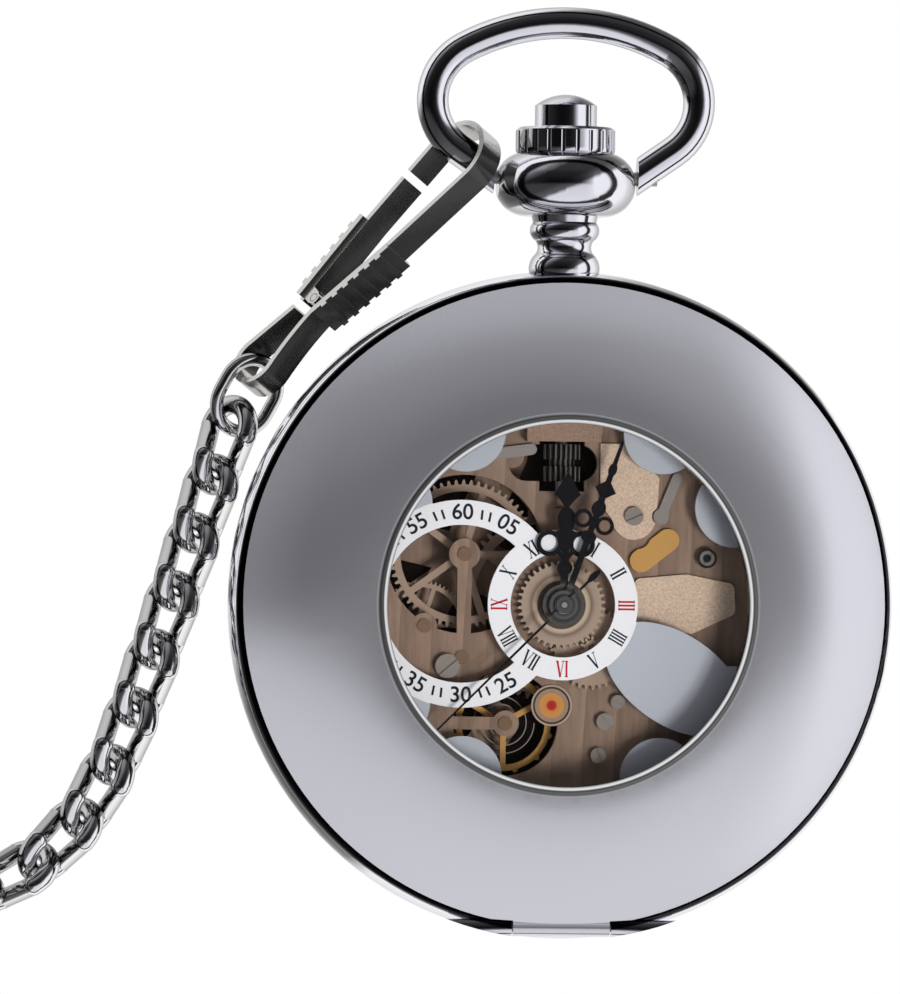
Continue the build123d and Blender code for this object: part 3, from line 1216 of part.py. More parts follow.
def movement_nodes():
    return {
        "main_plate": main_plate(), "movement_ring": movement_ring(), "barrel_bridge": barrel_bridge(),
        "train_bridge": train_bridge(), "balance_cock": balance_cock(), "hour_wheel": hour_wheel(),
        "cannon_pinion": cannon_pinion(), "minute_wheel": minute_wheel(), "centre_wheel": centre_wheel(),
        "second_arbor": second_arbor(), "third_wheel": third_wheel(), "fourth_wheel": fourth_wheel(),
        "escape_wheel": escape_wheel(), "pallet_fork": pallet_fork(), "balance_wheel": balance_wheel(),
        "hairspring": hairspring(), "mainspring_barrel": mainspring_barrel(), "mainspring": mainspring(),
        "barrel_arbor": barrel_arbor(), "ratchet_wheel": ratchet_wheel(), "click": click(),
        "clutch_wheel": clutch_wheel(), "winding_pinion": winding_pinion(), "setting_lever": setting_lever(),
        "yoke": yoke(), "setting_cover": setting_cover(), "kidney_lever": kidney_lever(),
        "barrel_cover": barrel_cover(), "plate_screws": group(plate_screws()), "jewels": group(jewels()),
    }


def main():
    os.makedirs("parts", exist_ok=True)
    nodes = {**watch_nodes(), **movement_nodes(), **chain_and_clasps()}
    for name, shape in nodes.items():
        solids = shape.solids()
        export_step(solids[0] if len(solids) == 1 else group([shape]), f"parts/{name}.step")
    chain_length = len(frames) * LINK_PITCH
    print(len(nodes), "nodes,", len(frames), "links,", round(chain_length, 1), "mm of links")


if __name__ == "__main__":
    main()
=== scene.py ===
"""Looks of the half-hunter pocket watch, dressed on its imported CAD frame."""
import json
import math
import bpy
from mathutils import Matrix, Vector


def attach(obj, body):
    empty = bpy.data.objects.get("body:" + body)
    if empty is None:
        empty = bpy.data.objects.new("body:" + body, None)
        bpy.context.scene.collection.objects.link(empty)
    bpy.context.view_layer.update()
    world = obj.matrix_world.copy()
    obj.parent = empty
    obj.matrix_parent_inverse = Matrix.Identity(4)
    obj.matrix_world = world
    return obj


MM = 0.001
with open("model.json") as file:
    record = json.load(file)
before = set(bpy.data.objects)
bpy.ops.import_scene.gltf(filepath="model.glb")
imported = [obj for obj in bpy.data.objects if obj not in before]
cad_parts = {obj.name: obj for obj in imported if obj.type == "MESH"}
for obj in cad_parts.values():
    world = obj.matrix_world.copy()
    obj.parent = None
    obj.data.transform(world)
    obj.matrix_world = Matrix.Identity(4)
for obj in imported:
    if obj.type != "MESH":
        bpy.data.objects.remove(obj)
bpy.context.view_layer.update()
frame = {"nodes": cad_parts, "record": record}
nodes = frame["nodes"]
scene = bpy.context.scene


# ---------------------------------------------------------------- shader nodes
# Colour sockets of Blender's Mix node, which has several with the same name.
MIX_A, MIX_B, MIX_RESULT = 6, 7, 2


def new_material(name, metallic=0.0, rough=0.5):
    mat = bpy.data.materials.new(name)
    mat.use_nodes = True
    tree = mat.node_tree
    bsdf = tree.nodes["Principled BSDF"]
    bsdf.inputs["Metallic"].default_value = metallic
    bsdf.inputs["Roughness"].default_value = rough
    return mat, tree, bsdf


def node(tree, kind, **values):
    """New shader node; a value goes to the input of that name, or else to the property."""
    made = tree.nodes.new(kind)
    for key, value in values.items():
        if key in made.inputs:
            made.inputs[key].default_value = value
        else:
            setattr(made, key, value)
    return made


def maths(tree, operation, first, second):
    """Result of a maths node on two values, each a socket or a number."""
    made = node(tree, "ShaderNodeMath", operation=operation)
    for socket, value in zip(made.inputs, (first, second)):
        if isinstance(value, float):
            socket.default_value = value
        else:
            tree.links.new(value, socket)
    return made.outputs[0]


def share_of(tree, value, low, high):
    """Where a value lies between two limits, from 0 to 1."""
    made = node(tree, "ShaderNodeMapRange")
    made.inputs["From Min"].default_value = low
    made.inputs["From Max"].default_value = high
    tree.links.new(value, made.inputs["Value"])
    return made.outputs["Result"]


def object_position(tree):
    return node(tree, "ShaderNodeTexCoord").outputs["Object"]


def noise(tree, scale, detail=3.0, stretch=(1, 1, 1)):
    """Noise over object coordinates, with the scale given per metre."""
    mapping = node(tree, "ShaderNodeMapping")
    mapping.inputs["Scale"].default_value = stretch
    tree.links.new(object_position(tree), mapping.inputs["Vector"])
    tex = node(tree, "ShaderNodeTexNoise", Scale=scale, Detail=detail)
    tree.links.new(mapping.outputs["Vector"], tex.inputs["Vector"])
    return tex.outputs["Fac"]


def grey(level):
    return (level, level, level)


def darker(colour, share):
    return tuple(part * share for part in colour)


def ramp(tree, fac, stops):
    """Colour from a value between 0 and 1, by (place, colour) stops."""
    made = node(tree, "ShaderNodeValToRGB")
    line = made.color_ramp
    while len(line.elements) < len(stops):
        line.elements.new(0.5)
    for element, (place, colour) in zip(line.elements, stops):
        element.position = place
        element.color = (*colour, 1)
    tree.links.new(fac, made.inputs["Fac"])
    return made.outputs["Color"]


def bump(tree, bsdf, height, strength, distance):
    made = node(tree, "ShaderNodeBump", Strength=strength, Distance=distance)
    tree.links.new(height, made.inputs["Height"])
    tree.links.new(made.outputs["Normal"], bsdf.inputs["Normal"])


def blend(tree, kind, first, second):
    made = node(tree, "ShaderNodeMix", data_type="RGBA", blend_type=kind)
    made.inputs["Factor"].default_value = 1.0
    tree.links.new(first, made.inputs[MIX_A])
    tree.links.new(second, made.inputs[MIX_B])
    return made.outputs[MIX_RESULT]


def grey_stops(levels):
    """Ramp stops from (direction from -1 to 1, grey level) pairs, a little bluish."""
    return [((place + 1) / 2, (level, level, level * 1.03)) for place, level in levels]


def facing(tree, direction, levels):
    """Grey by how far the surface faces a direction: 1 towards it, -1 away from it."""
    dot = node(tree, "ShaderNodeVectorMath", operation="DOT_PRODUCT")
    dot.inputs[1].default_value = Vector(direction).normalized()
    tree.links.new(node(tree, "ShaderNodeNewGeometry").outputs["Normal"], dot.inputs[0])
    share = share_of(tree, dot.outputs["Value"], -1.0, 1.0)
    return ramp(tree, share, grey_stops(levels))


def radius_from(tree, centre_x, centre_y):
    """Distance in metres from an upright line through the given point in millimetres."""
    shift = node(tree, "ShaderNodeVectorMath", operation="SUBTRACT")
    shift.inputs[1].default_value = (centre_x * MM, centre_y * MM, 0)
    tree.links.new(object_position(tree), shift.inputs[0])
    flat = node(tree, "ShaderNodeVectorMath", operation="MULTIPLY")
    flat.inputs[1].default_value = (1, 1, 0)
    tree.links.new(shift.outputs["Vector"], flat.inputs[0])
    length = node(tree, "ShaderNodeVectorMath", operation="LENGTH")
    tree.links.new(flat.outputs["Vector"], length.inputs[0])
    return length.outputs["Value"]


def rings(tree, centre, reach, stops):
    """Colour by the distance from a centre; reach and the stops' radii are in millimetres."""
    share = share_of(tree, radius_from(tree, *centre), 0.0, reach * MM)
    return ramp(tree, share, [(radius / reach, colour) for radius, colour in stops])


# ---------------------------------------------------------------- materials
# Scales of noise and stripes are per metre, and depths of relief are in metres.
MOTTLE_SCALE = 300
PAINT_SCALE = 400
RUBY_SCALE = 1500
BRUSH_SCALE = 2500
BLAST_SCALE = 8000
STRIPE_SCALE = 140.0
RIB_SCALE = 900.0
FINE_DETAIL = 5
BRUSH_DETAIL = 4
ALONG_STRIPES = (1, 0.12, 1)
RELIEF = 0.00004

# Radii and places in millimetres in the watch's own frame, from the dial's centre.
CENTRE = (0.0, 0.0)
CASE_REACH = 25.0
BACK_INSIDE_R = 20.5
COVER_SPLIT_X = 2.65
RUBY_PLACE = (-1.27, -7.2)
RINGED_SCREW = (10.3, 3.4)
SUB_CENTRE = (-7.15, 0.0)
HOUR_RING_OUT = 5.35
SUB_RING_OUT = 7.35

# Painted reflection: polished metal is painted bright or dark by the way that its surface faces, dark
# to the upper left.
UPPER_LEFT = (-0.7, 0.7, 0.0)
CHROME_PAINTED_REFLECTION = (UPPER_LEFT, [
    (-1.0, 1.0), (-0.16, 1.0), (-0.08, 0.16), (0.10, 0.07), (0.42, 0.07), (0.52, 0.35),
    (0.62, 0.95), (1.0, 1.0)])
# Painted reflection on the chain's links, dark to the upper left.
CHAIN_PAINTED_REFLECTION = (UPPER_LEFT, [
    (-1.0, 1.0), (-0.17, 1.0), (-0.08, 0.20), (0.08, 0.09), (0.32, 0.09), (0.48, 0.45),
    (1.0, 0.75)])
# Painted reflection: the clasps' strip is dark on its leaning flats and bright on its bends and edges.
CLASP_PAINTED_REFLECTION = ((0.0, 0.0, 1.0), [
    (-1.0, 0.8), (-0.92, 0.8), (-0.88, 0.12), (-0.66, 0.12), (-0.62, 0.8), (-0.2, 0.5),
    (0.2, 0.5), (0.62, 0.9), (0.66, 0.12), (0.88, 0.12), (0.92, 0.9), (1.0, 0.9)])


def metal(name, colour, rough, metallic=1.0, rim=1.0, side=None):
    """Faintly mottled metal.

    A rim below 1 paints shade, a darker outline, where it turns away from the viewer, and a side, which
    is a direction with its grey levels, paints reflection-like light and shade by the way that it
    faces.
    """
    mat, tree, bsdf = new_material(name, metallic, rough)
    tint = ramp(tree, noise(tree, MOTTLE_SCALE), [(0.3, darker(colour, 0.97)), (0.7, colour)])
    # Painted shade: darker where the surface turns away from the viewer.
    if rim < 1.0:
        turning = node(tree, "ShaderNodeLayerWeight", Blend=0.5).outputs["Facing"]
        tint = blend(tree, "MULTIPLY", tint, ramp(tree, turning, [(0.45, grey(1)), (0.78, grey(rim))]))
    # Painted reflection: brighter or darker by the way that the surface faces.
    if side:
        tint = blend(tree, "MULTIPLY", tint, facing(tree, *side))
    tree.links.new(tint, bsdf.inputs["Base Color"])
    return mat


def striped_plate(name, colour, heading):
    """Plate with broad polishing stripes and a fine grain along them."""
    mat, tree, bsdf = new_material(name, 0.25, 0.45)
    turn = node(tree, "ShaderNodeMapping")
    turn.inputs["Rotation"].default_value = (0, 0, heading)
    tree.links.new(object_position(tree), turn.inputs["Vector"])
    wave = node(tree, "ShaderNodeTexWave", wave_profile="SAW", Scale=STRIPE_SCALE, Distortion=0.4)
    tree.links.new(turn.outputs["Vector"], wave.inputs["Vector"])
    bands = ramp(tree, wave.outputs["Fac"], [(0.0, darker(colour, 0.72)), (1.0, colour)])
    grain = noise(tree, BRUSH_SCALE, BRUSH_DETAIL, ALONG_STRIPES)
    fine = ramp(tree, grain, [(0.25, grey(0.7)), (0.75, grey(1))])
    tree.links.new(blend(tree, "MULTIPLY", bands, fine), bsdf.inputs["Base Color"])
    bump(tree, bsdf, grain, 0.25, RELIEF)
    return mat


def blasted(name, colour):
    """Plate with an even blasted grain."""
    mat, tree, bsdf = new_material(name, 0.15, 0.5)
    grain = noise(tree, BLAST_SCALE, FINE_DETAIL)
    tint = ramp(tree, grain, [(0.35, darker(colour, 0.7)), (0.65, colour)])
    tree.links.new(tint, bsdf.inputs["Base Color"])
    bump(tree, bsdf, grain, 0.6, RELIEF)
    return mat


def cover_finish(name, left, right):
    """Blasted cover in two colours, which meet at COVER_SPLIT_X."""
    mat, tree, bsdf = new_material(name, 0.15, 0.5)
    split = node(tree, "ShaderNodeSeparateXYZ")
    tree.links.new(object_position(tree), split.inputs["Vector"])
    on_right = maths(tree, "GREATER_THAN", split.outputs["X"], COVER_SPLIT_X * MM)
    tint = ramp(tree, on_right, [(0.4, left), (0.6, right)])
    grain = noise(tree, BLAST_SCALE, FINE_DETAIL)
    fine = ramp(tree, grain, [(0.35, grey(0.7)), (0.65, grey(1))])
    tree.links.new(blend(tree, "MULTIPLY", tint, fine), bsdf.inputs["Base Color"])
    bump(tree, bsdf, grain, 0.6, RELIEF)
    return mat


def turned(name, centre, reach, stops, metallic, rough):
    """Metal that is turned in rings about a centre."""
    mat, tree, bsdf = new_material(name, metallic, rough)
    tree.links.new(rings(tree, centre, reach, stops), bsdf.inputs["Base Color"])
    return mat


def lid_with_painted_rim_light(name):
    """Satin grey lid; on its window rim a bright lip is a painted highlight and a dark groove round it
    is painted shade.
    """
    mat, tree, bsdf = new_material(name, rough=0.2)
    # Painted highlight and painted shade: a bright lip from 12.8 mm and a dark groove round it.
    tint = rings(tree, CENTRE, CASE_REACH, [
        (0.0, grey(0.10)), (12.775, grey(0.10)), (12.8, grey(0.90)), (12.9375, grey(0.90)),
        (12.975, grey(0.07)), (13.325, grey(0.12)), (13.45, (0.70, 0.70, 0.735))])
    tree.links.new(tint, bsdf.inputs["Base Color"])
    shine = rings(tree, CENTRE, CASE_REACH, [
        (0.0, grey(0.3)), (13.35, grey(0.3)), (13.475, grey(0.90))])
    tree.links.new(shine, bsdf.inputs["Metallic"])
    return mat


def band_with_painted_light(name):
    """Chrome band whose step beside the lid is painted shade, dark; beyond 23.5 mm it is darker again,
    and it carries the chrome's painted reflection.
    """
    mat, tree, bsdf = new_material(name, 1.0, 0.08)
    # Painted shade: the step beside the lid is dark.
    step = rings(tree, CENTRE, CASE_REACH, [
        (0.0, grey(0.04)), (22.95, grey(0.04)), (23.05, (0.85, 0.85, 0.87)),
        (23.4, (0.75, 0.75, 0.77)), (23.5, (0.45, 0.45, 0.46))])
    tint = blend(tree, "MULTIPLY", step, facing(tree, *CHROME_PAINTED_REFLECTION))
    tree.links.new(tint, bsdf.inputs["Base Color"])
    return mat


def back_finish(name):
    """Satin outside, dark inside the case."""
    mat, tree, bsdf = new_material(name, 0.9, 0.22)
    inner = maths(tree, "LESS_THAN", radius_from(tree, *CENTRE), BACK_INSIDE_R * MM)
    upward = facing(tree, (0, 0, 1), [(-1, 0), (-0.02, 0), (0.02, 1), (1, 1)])
    inside = maths(tree, "MULTIPLY", inner, upward)
    tint = ramp(tree, inside, [(0.4, (0.70, 0.70, 0.73)), (0.6, (0.05, 0.035, 0.025))])
    tree.links.new(tint, bsdf.inputs["Base Color"])
    return mat


def ribs_painted_highlights(name):
    """Dark steel with bright stripes along it, painted highlights that stand for light on ribs."""
    mat, tree, bsdf = new_material(name, 0.6, 0.2)
    wave = node(tree, "ShaderNodeTexWave", wave_profile="SIN", Scale=RIB_SCALE)
    tree.links.new(object_position(tree), wave.inputs["Vector"])
    # Painted highlights: bright stripes between dark ones.
    tint = ramp(tree, wave.outputs["Fac"], [(0.55, grey(0.012)), (0.85, (0.22, 0.20, 0.18))])
    tree.links.new(tint, bsdf.inputs["Base Color"])
    return mat


def dial_finish(name):
    """White printed rings; the arms between them are polished silver."""
    mat, tree, bsdf = new_material(name, rough=0.3)
    on_hours = maths(tree, "LESS_THAN", radius_from(tree, *CENTRE), HOUR_RING_OUT * MM)
    on_minutes = maths(tree, "LESS_THAN", radius_from(tree, *SUB_CENTRE), SUB_RING_OUT * MM)
    printed = maths(tree, "MAXIMUM", on_hours, on_minutes)
    tint = ramp(tree, printed, [(0.4, (0.56, 0.59, 0.64)), (0.6, (0.84, 0.84, 0.85))])
    tree.links.new(tint, bsdf.inputs["Base Color"])
    shine = ramp(tree, printed, [(0.4, grey(0.25)), (0.6, grey(0))])
    tree.links.new(shine, bsdf.inputs["Metallic"])
    return mat


def ink(name, colour):
    mat, tree, bsdf = new_material(name, rough=0.5)
    tint = ramp(tree, noise(tree, PAINT_SCALE), [(0.3, darker(colour, 0.96)), (0.7, colour)])
    tree.links.new(tint, bsdf.inputs["Base Color"])
    return mat


def ruby(name):
    mat, tree, bsdf = new_material(name, rough=0.08)
    bsdf.inputs["Coat Weight"].default_value = 1.0
    tint = ramp(tree, noise(tree, RUBY_SCALE), [(0.3, (0.45, 0.01, 0.05)), (0.7, (0.75, 0.05, 0.12))])
    tree.links.new(tint, bsdf.inputs["Base Color"])
    return mat


def glass(name):
    """Clear glass that mirrors only where a ray enters it, so that it never turns opaque."""
    mat, tree, bsdf = new_material(name)
    tree.nodes.remove(bsdf)
    clear = node(tree, "ShaderNodeBsdfTransparent", Color=(0.985, 0.985, 0.985, 1))
    shine = node(tree, "ShaderNodeBsdfGlossy", Roughness=0.02)
    fresnel = node(tree, "ShaderNodeFresnel", IOR=1.25)
    entering = maths(tree, "SUBTRACT", 1.0, node(tree, "ShaderNodeNewGeometry").outputs["Backfacing"])
    mix = node(tree, "ShaderNodeMixShader")
    tree.links.new(maths(tree, "MULTIPLY", fresnel.outputs["Fac"], entering), mix.inputs["Fac"])
    tree.links.new(clear.outputs["BSDF"], mix.inputs[1])
    tree.links.new(shine.outputs["BSDF"], mix.inputs[2])
    tree.links.new(mix.outputs["Shader"], tree.nodes["Material Output"].inputs["Surface"])
    return mat


MATERIALS = {
    "case_chrome": metal("polished chrome", (0.86, 0.86, 0.88), 0.08, rim=0.3, side=CHROME_PAINTED_REFLECTION),
    "case_brushed": metal("satin case steel", (0.60, 0.60, 0.63), 0.30, metallic=0.85, rim=0.6),
    "glass": glass("watch glass"),
    "dial_white": dial_finish("dial white"),
    "hand_black": turned("black hands", CENTRE, 2.0, [
        (0.0, grey(0.02)), (0.5, grey(0.10)), (0.64, grey(0.03)), (0.9, (0.12, 0.12, 0.115)),
        (1.1, grey(0.04)), (1.4, (0.11, 0.105, 0.10)), (1.6, grey(0.03)),
        (1.9, (0.008, 0.008, 0.010))], 0.3, 0.3),
    "plate_brown": striped_plate("bronzed plate", (0.43, 0.295, 0.215), 0.05),
    "plate_rose": blasted("blasted rose plate", (0.82, 0.62, 0.46)),
    "bronze": metal("bronzed wheel", (0.48, 0.35, 0.26), 0.35, metallic=0.3),
    "gold": metal("gilt brass", (0.80, 0.45, 0.14), 0.3, metallic=0.4),
    "steel": metal("polished steel", (0.40, 0.36, 0.33), 0.25, metallic=0.4),
    "dark_steel": metal("dark steel", (0.05, 0.045, 0.04), 0.25),
    "ruby": ruby("ruby"),
    "chain_chrome": metal("chain chrome", (0.88, 0.87, 0.85), 0.06, rim=0.25, side=CHAIN_PAINTED_REFLECTION),
    "clasp_dark": metal("clasp steel", (0.75, 0.73, 0.68), 0.22, metallic=0.85, side=CLASP_PAINTED_REFLECTION),
}

# Nodes with a finish of their own instead of their slot's.
OWN_FINISH = {
    "hour_wheel": turned("hour wheel rings", CENTRE, 4.0, [
        (0.0, (0.10, 0.08, 0.06)), (1.68, (0.10, 0.08, 0.06)), (1.76, (0.70, 0.55, 0.41)),
        (1.96, (0.55, 0.42, 0.31)), (2.12, (0.24, 0.17, 0.12)), (2.4, (0.45, 0.34, 0.26)),
        (2.88, (0.50, 0.38, 0.29))], 0.3, 0.35),
    "jewels": turned("ruby and bushings", RUBY_PLACE, 3.0, [
        (0.0, (0.60, 0.02, 0.05)), (0.9, (0.60, 0.02, 0.05)), (1.02, (0.22, 0.14, 0.09))], 0.1, 0.1),
    "plate_screws": turned("ringed screws", RINGED_SCREW, 2.0, [
        (0.0, grey(0.03)), (0.28, grey(0.03)), (0.32, (0.30, 0.27, 0.25)),
        (0.5, (0.30, 0.27, 0.25)), (0.54, grey(0.03)), (0.74, grey(0.03)),
        (0.8, (0.38, 0.33, 0.29))], 0.4, 0.25),
    "case_back": back_finish("back steel"),
    "clutch_wheel": ribs_painted_highlights("ribbed clutch"),
    "setting_cover": cover_finish("rose cover", (0.40, 0.27, 0.19), (0.82, 0.62, 0.46)),
    "lid": lid_with_painted_rim_light("satin lid"),
    "case_band": band_with_painted_light("polished band"),
}


def dress():
    slots = {part["node"]: part["material_slot"] for part in frame["record"]["subparts"]}
    for name, obj in nodes.items():
        obj.data.materials.clear()
        obj.data.materials.append(OWN_FINISH.get(name) or MATERIALS[slots[name]])


# ---------------------------------------------------------------- bright edges, painted highlights
CLASP_EDGE = 0.14          # width of the bevel in millimetres
PLATE_EDGE = 0.07
SHARP = math.radians(40)
CLASP_PIECES = ("clasp_hook", "clasp_gate", "end_clasp_hook", "end_clasp_gate")
PLATE_PIECES = ("setting_cover", "barrel_cover", "train_bridge", "balance_cock",
                "main_plate", "setting_lever", "kidney_lever", "yoke")


def edge(names, finish, width):
    """Fine bevel on the sharp edges of flat pieces, in a lighter metal that is a painted highlight."""
    for name in names:
        obj = nodes[name]
        obj.data.materials.append(finish)
        bevel = obj.modifiers.new("edges", "BEVEL")
        bevel.width = width * MM
        bevel.segments = 1
        bevel.limit_method = "ANGLE"
        bevel.angle_limit = SHARP
        bevel.material = len(obj.data.materials) - 1
        bevel.use_clamp_overlap = True


def painted_edge_highlights():
    # Painted highlights: a lighter metal on the bevels of the clasps and plates.
    edge(CLASP_PIECES, metal("bright edge", (0.80, 0.79, 0.76), 0.12, metallic=0.7), CLASP_EDGE)
    edge(PLATE_PIECES, metal("light edge", (0.80, 0.64, 0.50), 0.3, metallic=0.2), PLATE_EDGE)


# ---------------------------------------------------------------- printing on the dial
DIAL_TOP = 7.8
PRINT_T = 0.01
SETTING_PLACE = (-0.55, -7.1)
SETTING_R = 1.45
SETTING_SIDES = 64
SETTING_UNDER = 6.16
SUB_R = 6.42
HOUR_R = 4.5
HOUR_INK_H = 1.15
FIGURE_H = 1.55
FIGURE_SWELL = 0.02
FIGURE_CLEAR = 5.5         # side figures nearer the dial's centre lie under the hour ring
MARK_CLEAR = HOUR_RING_OUT + 0.2
HOURS = 12
HOUR_STEP = 360 // HOURS
BLACK_INK = (0.01, 0.01, 0.02)
RED_INK = (0.50, 0.01, 0.02)
THICK, THIN, SERIF = 0.095, 0.035, 0.03


def stroke(a, b, half):
    """Corners of a bar from a to b."""
    along = (Vector(b) - Vector(a)).normalized()
    side = Vector((-along.y, along.x)) * half
    return [Vector(a) - side, Vector(b) - side, Vector(b) + side, Vector(a) + side]


def roman_letter(letter, height):
    """Bars of one serif letter centred on x = 0, and its width."""
    top, low = height / 2, -height / 2
    serif_rows = (low + SERIF, top - SERIF)
    if letter == "I":
        bars = [stroke((0, low), (0, top), THICK)]
        bars += [stroke((-0.15, y), (0.15, y), SERIF) for y in serif_rows]
        return bars, 0.36
    if letter == "V":
        bars = [stroke((-0.30, top), (0, low), THICK), stroke((0.30, top), (0, low), THIN)]
        y = top - SERIF
        bars += [stroke((x - 0.14, y), (x + 0.14, y), SERIF) for x in (-0.3, 0.3)]
        return bars, 0.86
    bars = [stroke((-0.28, top), (0.28, low), THICK), stroke((0.28, top), (-0.28, low), THIN)]
    for y in serif_rows:
        bars += [stroke((x - 0.13, y), (x + 0.13, y), SERIF) for x in (-0.28, 0.28)]
    return bars, 0.82


def roman_bars(word, height):
    letters = [roman_letter(letter, height) for letter in word]
    place = -sum(width for bars, width in letters) / 2
    out = []
    for bars, width in letters:
        shift = Vector((place + width / 2, 0))
        out += [[corner + shift for corner in bar] for bar in bars]
        place += width
    return out


def inked(name, shapes, mat, under=DIAL_TOP):
    """One thin flat piece from several outlines, printed on the dial unless told otherwise."""
    verts, faces = [], []
    for shape in shapes:
        start, count = len(verts), len(shape)
        for z in (under, under + PRINT_T):
            verts += [(corner.x * MM, corner.y * MM, z * MM) for corner in shape]
        faces.append([start + count + i for i in range(count)])
        for i in range(count):
            j = (i + 1) % count
            faces.append([start + i, start + j, start + count + j, start + count + i])
    mesh = bpy.data.meshes.new(name)
    mesh.from_pydata(verts, [], faces)
    mesh.update()
    obj = bpy.data.objects.new(name, mesh)
    scene.collection.objects.link(obj)
    obj.data.materials.append(mat)
    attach(obj, "case")


def clock_way(angle):
    """Unit vector to a clock angle in degrees."""
    return Vector((math.sin(math.radians(angle)), math.cos(math.radians(angle))))


def placed_round(shape, angle, radius, centre=CENTRE, squeeze=1.0, inward=False):
    """Outline moved to a clock angle, with its top outward or, if asked, inward."""
    turn = Matrix.Rotation(math.radians(180 - angle if inward else -angle), 2)
    middle = Vector(centre) + clock_way(angle) * radius
    return [turn @ Vector((corner.x * squeeze, corner.y)) + middle for corner in shape]


def hour_numerals():
    """Roman hours, red at the quarters; IIII to VIII have their tops inward, to stay upright."""
    words = ["XII", "I", "II", "III", "IIII", "V", "VI", "VII", "VIII", "IX", "X", "XI"]
    black, red = [], []
    for i, word in enumerate(words):
        target = red if i % 3 == 0 else black
        squeeze = 0.62 if len(word) > 3 else 0.72
        for bar in roman_bars(word, HOUR_INK_H):
            target.append(placed_round(bar, i * HOUR_STEP, HOUR_R, squeeze=squeeze, inward=4 <= i <= 8))
    inked("hour_numerals", black, ink("dial ink", BLACK_INK))
    inked("hour_numerals_red", red, ink("red ink", RED_INK))


def minute_marks():
    """Two short bars between each pair of figures on the side ring."""
    leaning_bar = stroke((0.04, -0.36), (-0.04, 0.32), 0.08)
    bars = []
    for i in range(HOURS):
        for step in (-2.6, 2.6):
            bar = placed_round(leaning_bar, (i + 0.5) * HOUR_STEP + step, SUB_R, SUB_CENTRE)
            if bar[0].length > MARK_CLEAR:
                bars.append(bar)
    inked("minute_marks", bars, ink("marks ink", BLACK_INK))


def minute_figures():
    """Figures from 05 to 60 on the side ring, but those that the hour ring covers."""
    black = ink("figure ink", BLACK_INK)
    for i in range(HOURS):
        angle = i * HOUR_STEP
        word = "60" if i == 0 else "%02d" % (i * 5)
        place = Vector(SUB_CENTRE) + clock_way(angle) * SUB_R
        if place.length < FIGURE_CLEAR:
            continue
        data = bpy.data.curves.new("minute_figure_" + word, "FONT")
        data.body = word
        data.size = FIGURE_H * MM
        data.align_x, data.align_y = "CENTER", "CENTER"
        data.offset = FIGURE_SWELL * MM
        upright = angle if angle <= 90 or angle >= 270 else angle - 180
        obj = bpy.data.objects.new("minute_figure_" + word, data)
        scene.collection.objects.link(obj)
        obj.location = (place.x * MM, place.y * MM, (DIAL_TOP + PRINT_T) * MM)
        obj.rotation_euler = (0, 0, math.radians(-upright))
        bpy.context.view_layer.objects.active = obj
        for other in bpy.context.selected_objects:
            other.select_set(False)
        obj.select_set(True)
        bpy.ops.object.convert(target="MESH")
        obj = bpy.context.object
        obj.data.materials.append(black)
        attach(obj, "case")


def jewel_setting():
    """Turned gold setting with a ruby, let into the plate below the centre."""
    rim = [Vector(SETTING_PLACE) + clock_way(90 - 360 * i / SETTING_SIDES) * SETTING_R
           for i in range(SETTING_SIDES)]
    finish = turned("jewel setting", SETTING_PLACE, 2.0, [
        (0.0, (0.50, 0.02, 0.03)), (0.32, (0.60, 0.05, 0.03)), (0.4, (0.75, 0.30, 0.08)),
        (0.84, (0.75, 0.36, 0.10)), (0.92, (0.42, 0.28, 0.20)), (1.16, (0.45, 0.31, 0.22)),
        (1.2, (0.07, 0.045, 0.03)), (1.3, (0.07, 0.045, 0.03)), (1.34, (0.55, 0.42, 0.33))], 0.3, 0.25)
    inked("jewel_setting", [rim], finish, SETTING_UNDER)


# ---------------------------------------------------------------- light, floor and camera
# Grey levels of the studio round the watch, each over one axis of the direction from -1 to 1.
# The levels over Z darken a low wall just above the horizon.
SKY_Y = [
    (-1, 0.90), (-0.8, 0.80), (-0.4, 0.72), (-0.165, 0.62), (-0.025, 0.06), (0.14, 0.08),
    (0.37, 0.19), (0.57, 0.27), (0.76, 0.48), (1, 0.60)]
SKY_X = [
    (-1, 0.25), (-0.7, 0.08), (-0.5, 0), (0.1, 0), (0.25, 0.06), (0.45, 0.12), (0.60, 0.52),
    (0.69, 1.0), (1, 1.0)]
DARK_WALL_Z = [(0.0, 1.0), (0.03, 0.03), (0.24, 0.03), (0.33, 0.95), (1.0, 1.0)]
WHITE = (1, 1, 1, 1)

FLOOR_SIZE = 3.0
FLOOR_DROP = 0.00002       # keeps the floor just clear of what lies on it

LAMP_PLACE = (0.16, -0.13, 0.5)
LAMP_TARGET = (0, 0, 0.006)
LAMP_SIZE = 0.12
LAMP_WATTS = 2.3

CAMERA_TARGET = Vector((-7.9, 7.5, 6.0)) * MM
CAMERA_DISTANCE = 0.60
CAMERA_LEAN = math.radians(5.0)
CAMERA_TILT = math.radians(0.5)
CAMERA_ROLL = math.radians(0.7)
CAMERA_NEAR = 0.01
PICTURE_HEIGHT = 0.070     # what the picture takes in at the target, in metres


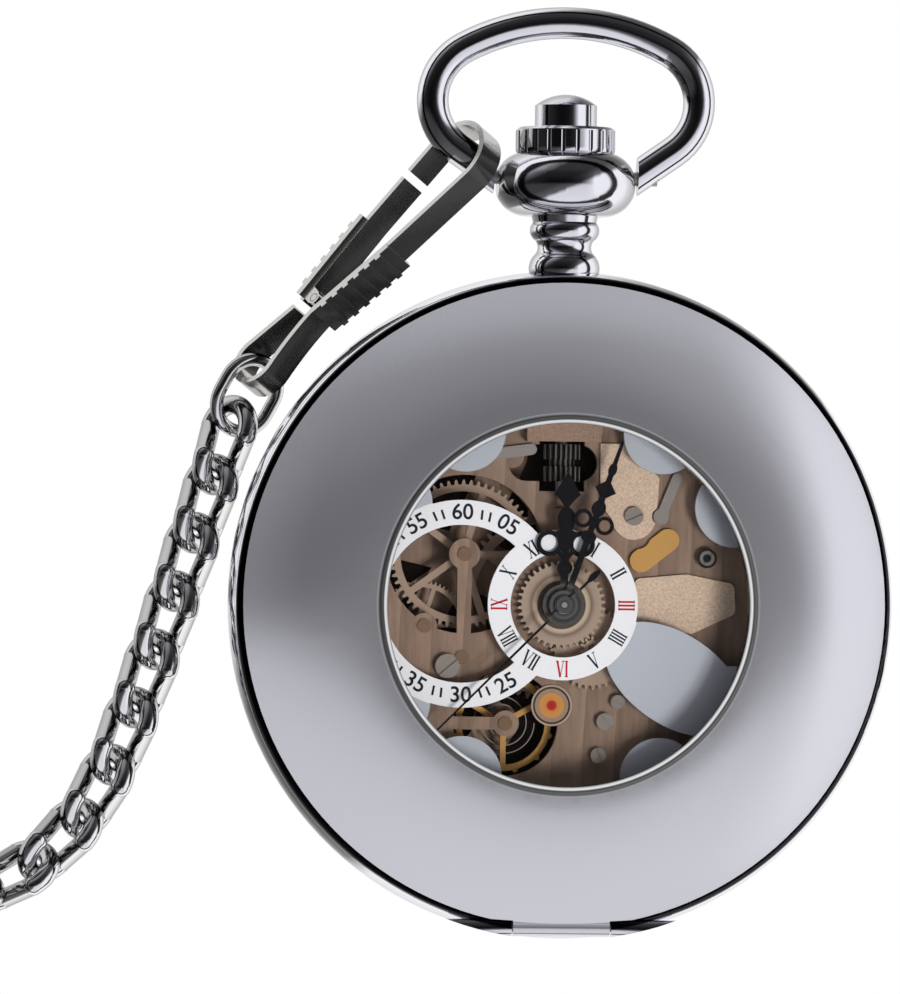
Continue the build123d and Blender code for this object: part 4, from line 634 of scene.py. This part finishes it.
def world_light():
    """White to the camera; mirrors see a studio that is bright towards -Y and +X."""
    world = bpy.data.worlds.new("studio")
    scene.world = world
    world.use_nodes = True
    tree = world.node_tree
    split = node(tree, "ShaderNodeSeparateXYZ")
    tree.links.new(node(tree, "ShaderNodeTexCoord").outputs["Generated"], split.inputs["Vector"])
    sky_y, sky_x, wall = [
        ramp(tree, share_of(tree, split.outputs[axis], -1.0, 1.0), grey_stops(levels))
        for axis, levels in (("Y", SKY_Y), ("X", SKY_X), ("Z", DARK_WALL_Z))]
    studio = blend(tree, "MULTIPLY", blend(tree, "SCREEN", sky_y, sky_x), wall)
    seen = node(tree, "ShaderNodeMix", data_type="RGBA")
    tree.links.new(node(tree, "ShaderNodeLightPath").outputs["Is Camera Ray"], seen.inputs["Factor"])
    tree.links.new(studio, seen.inputs[MIX_A])
    seen.inputs[MIX_B].default_value = WHITE
    back = tree.nodes["Background"]
    tree.links.new(seen.outputs[MIX_RESULT], back.inputs["Color"])
    back.inputs["Strength"].default_value = 1.0


def top_light():
    """Soft lamp that lights the watch but isn't mirrored in it."""
    data = bpy.data.lights.new("soft top light", "AREA")
    data.shape = "SQUARE"
    data.size = LAMP_SIZE
    data.energy = LAMP_WATTS
    lamp = bpy.data.objects.new("soft top light", data)
    lamp.location = LAMP_PLACE
    way = Vector(LAMP_TARGET) - Vector(LAMP_PLACE)
    lamp.rotation_euler = way.to_track_quat("-Z", "Y").to_euler()
    lamp.visible_glossy = False
    scene.collection.objects.link(lamp)


def floor():
    """White floor that is clear from below, so that the back can be seen."""
    bpy.ops.mesh.primitive_plane_add(size=FLOOR_SIZE, location=(0, 0, -FLOOR_DROP))
    plane = bpy.context.object
    plane.name = "floor"
    mat, tree, bsdf = new_material("white floor")
    tree.nodes.remove(bsdf)
    glow = node(tree, "ShaderNodeEmission", Strength=1.0, Color=WHITE)
    clear = node(tree, "ShaderNodeBsdfTransparent")
    mix = node(tree, "ShaderNodeMixShader")
    tree.links.new(node(tree, "ShaderNodeNewGeometry").outputs["Backfacing"], mix.inputs["Fac"])
    tree.links.new(glow.outputs["Emission"], mix.inputs[1])
    tree.links.new(clear.outputs["BSDF"], mix.inputs[2])
    tree.links.new(mix.outputs["Shader"], tree.nodes["Material Output"].inputs["Surface"])
    mat.cycles.emission_sampling = "NONE"
    plane.data.materials.append(mat)


def camera():
    """Nearly straight above, leaning a few degrees from the left."""
    way = Vector((-math.sin(CAMERA_LEAN), -math.sin(CAMERA_TILT), math.cos(CAMERA_LEAN)))
    place = CAMERA_TARGET + way * CAMERA_DISTANCE
    back = (place - CAMERA_TARGET).normalized()
    up = Matrix.Rotation(CAMERA_ROLL, 3, "Z") @ Vector((0, 1, 0))
    right = up.cross(back).normalized()
    up = back.cross(right)
    turn = Matrix((right, up, back)).transposed()
    data = bpy.data.cameras.new("camera")
    data.sensor_fit = "VERTICAL"
    data.angle = 2 * math.atan(PICTURE_HEIGHT / 2 / CAMERA_DISTANCE)
    data.clip_start = CAMERA_NEAR
    cam = bpy.data.objects.new("camera", data)
    scene.collection.objects.link(cam)
    cam.matrix_world = Matrix.Translation(place) @ turn.to_4x4()
    scene.camera = cam


def main():
    dress()
    painted_edge_highlights()
    hour_numerals()
    minute_marks()
    minute_figures()
    jewel_setting()
    world_light()
    floor()
    top_light()
    camera()
    scene.view_settings.view_transform = "Standard"


main()
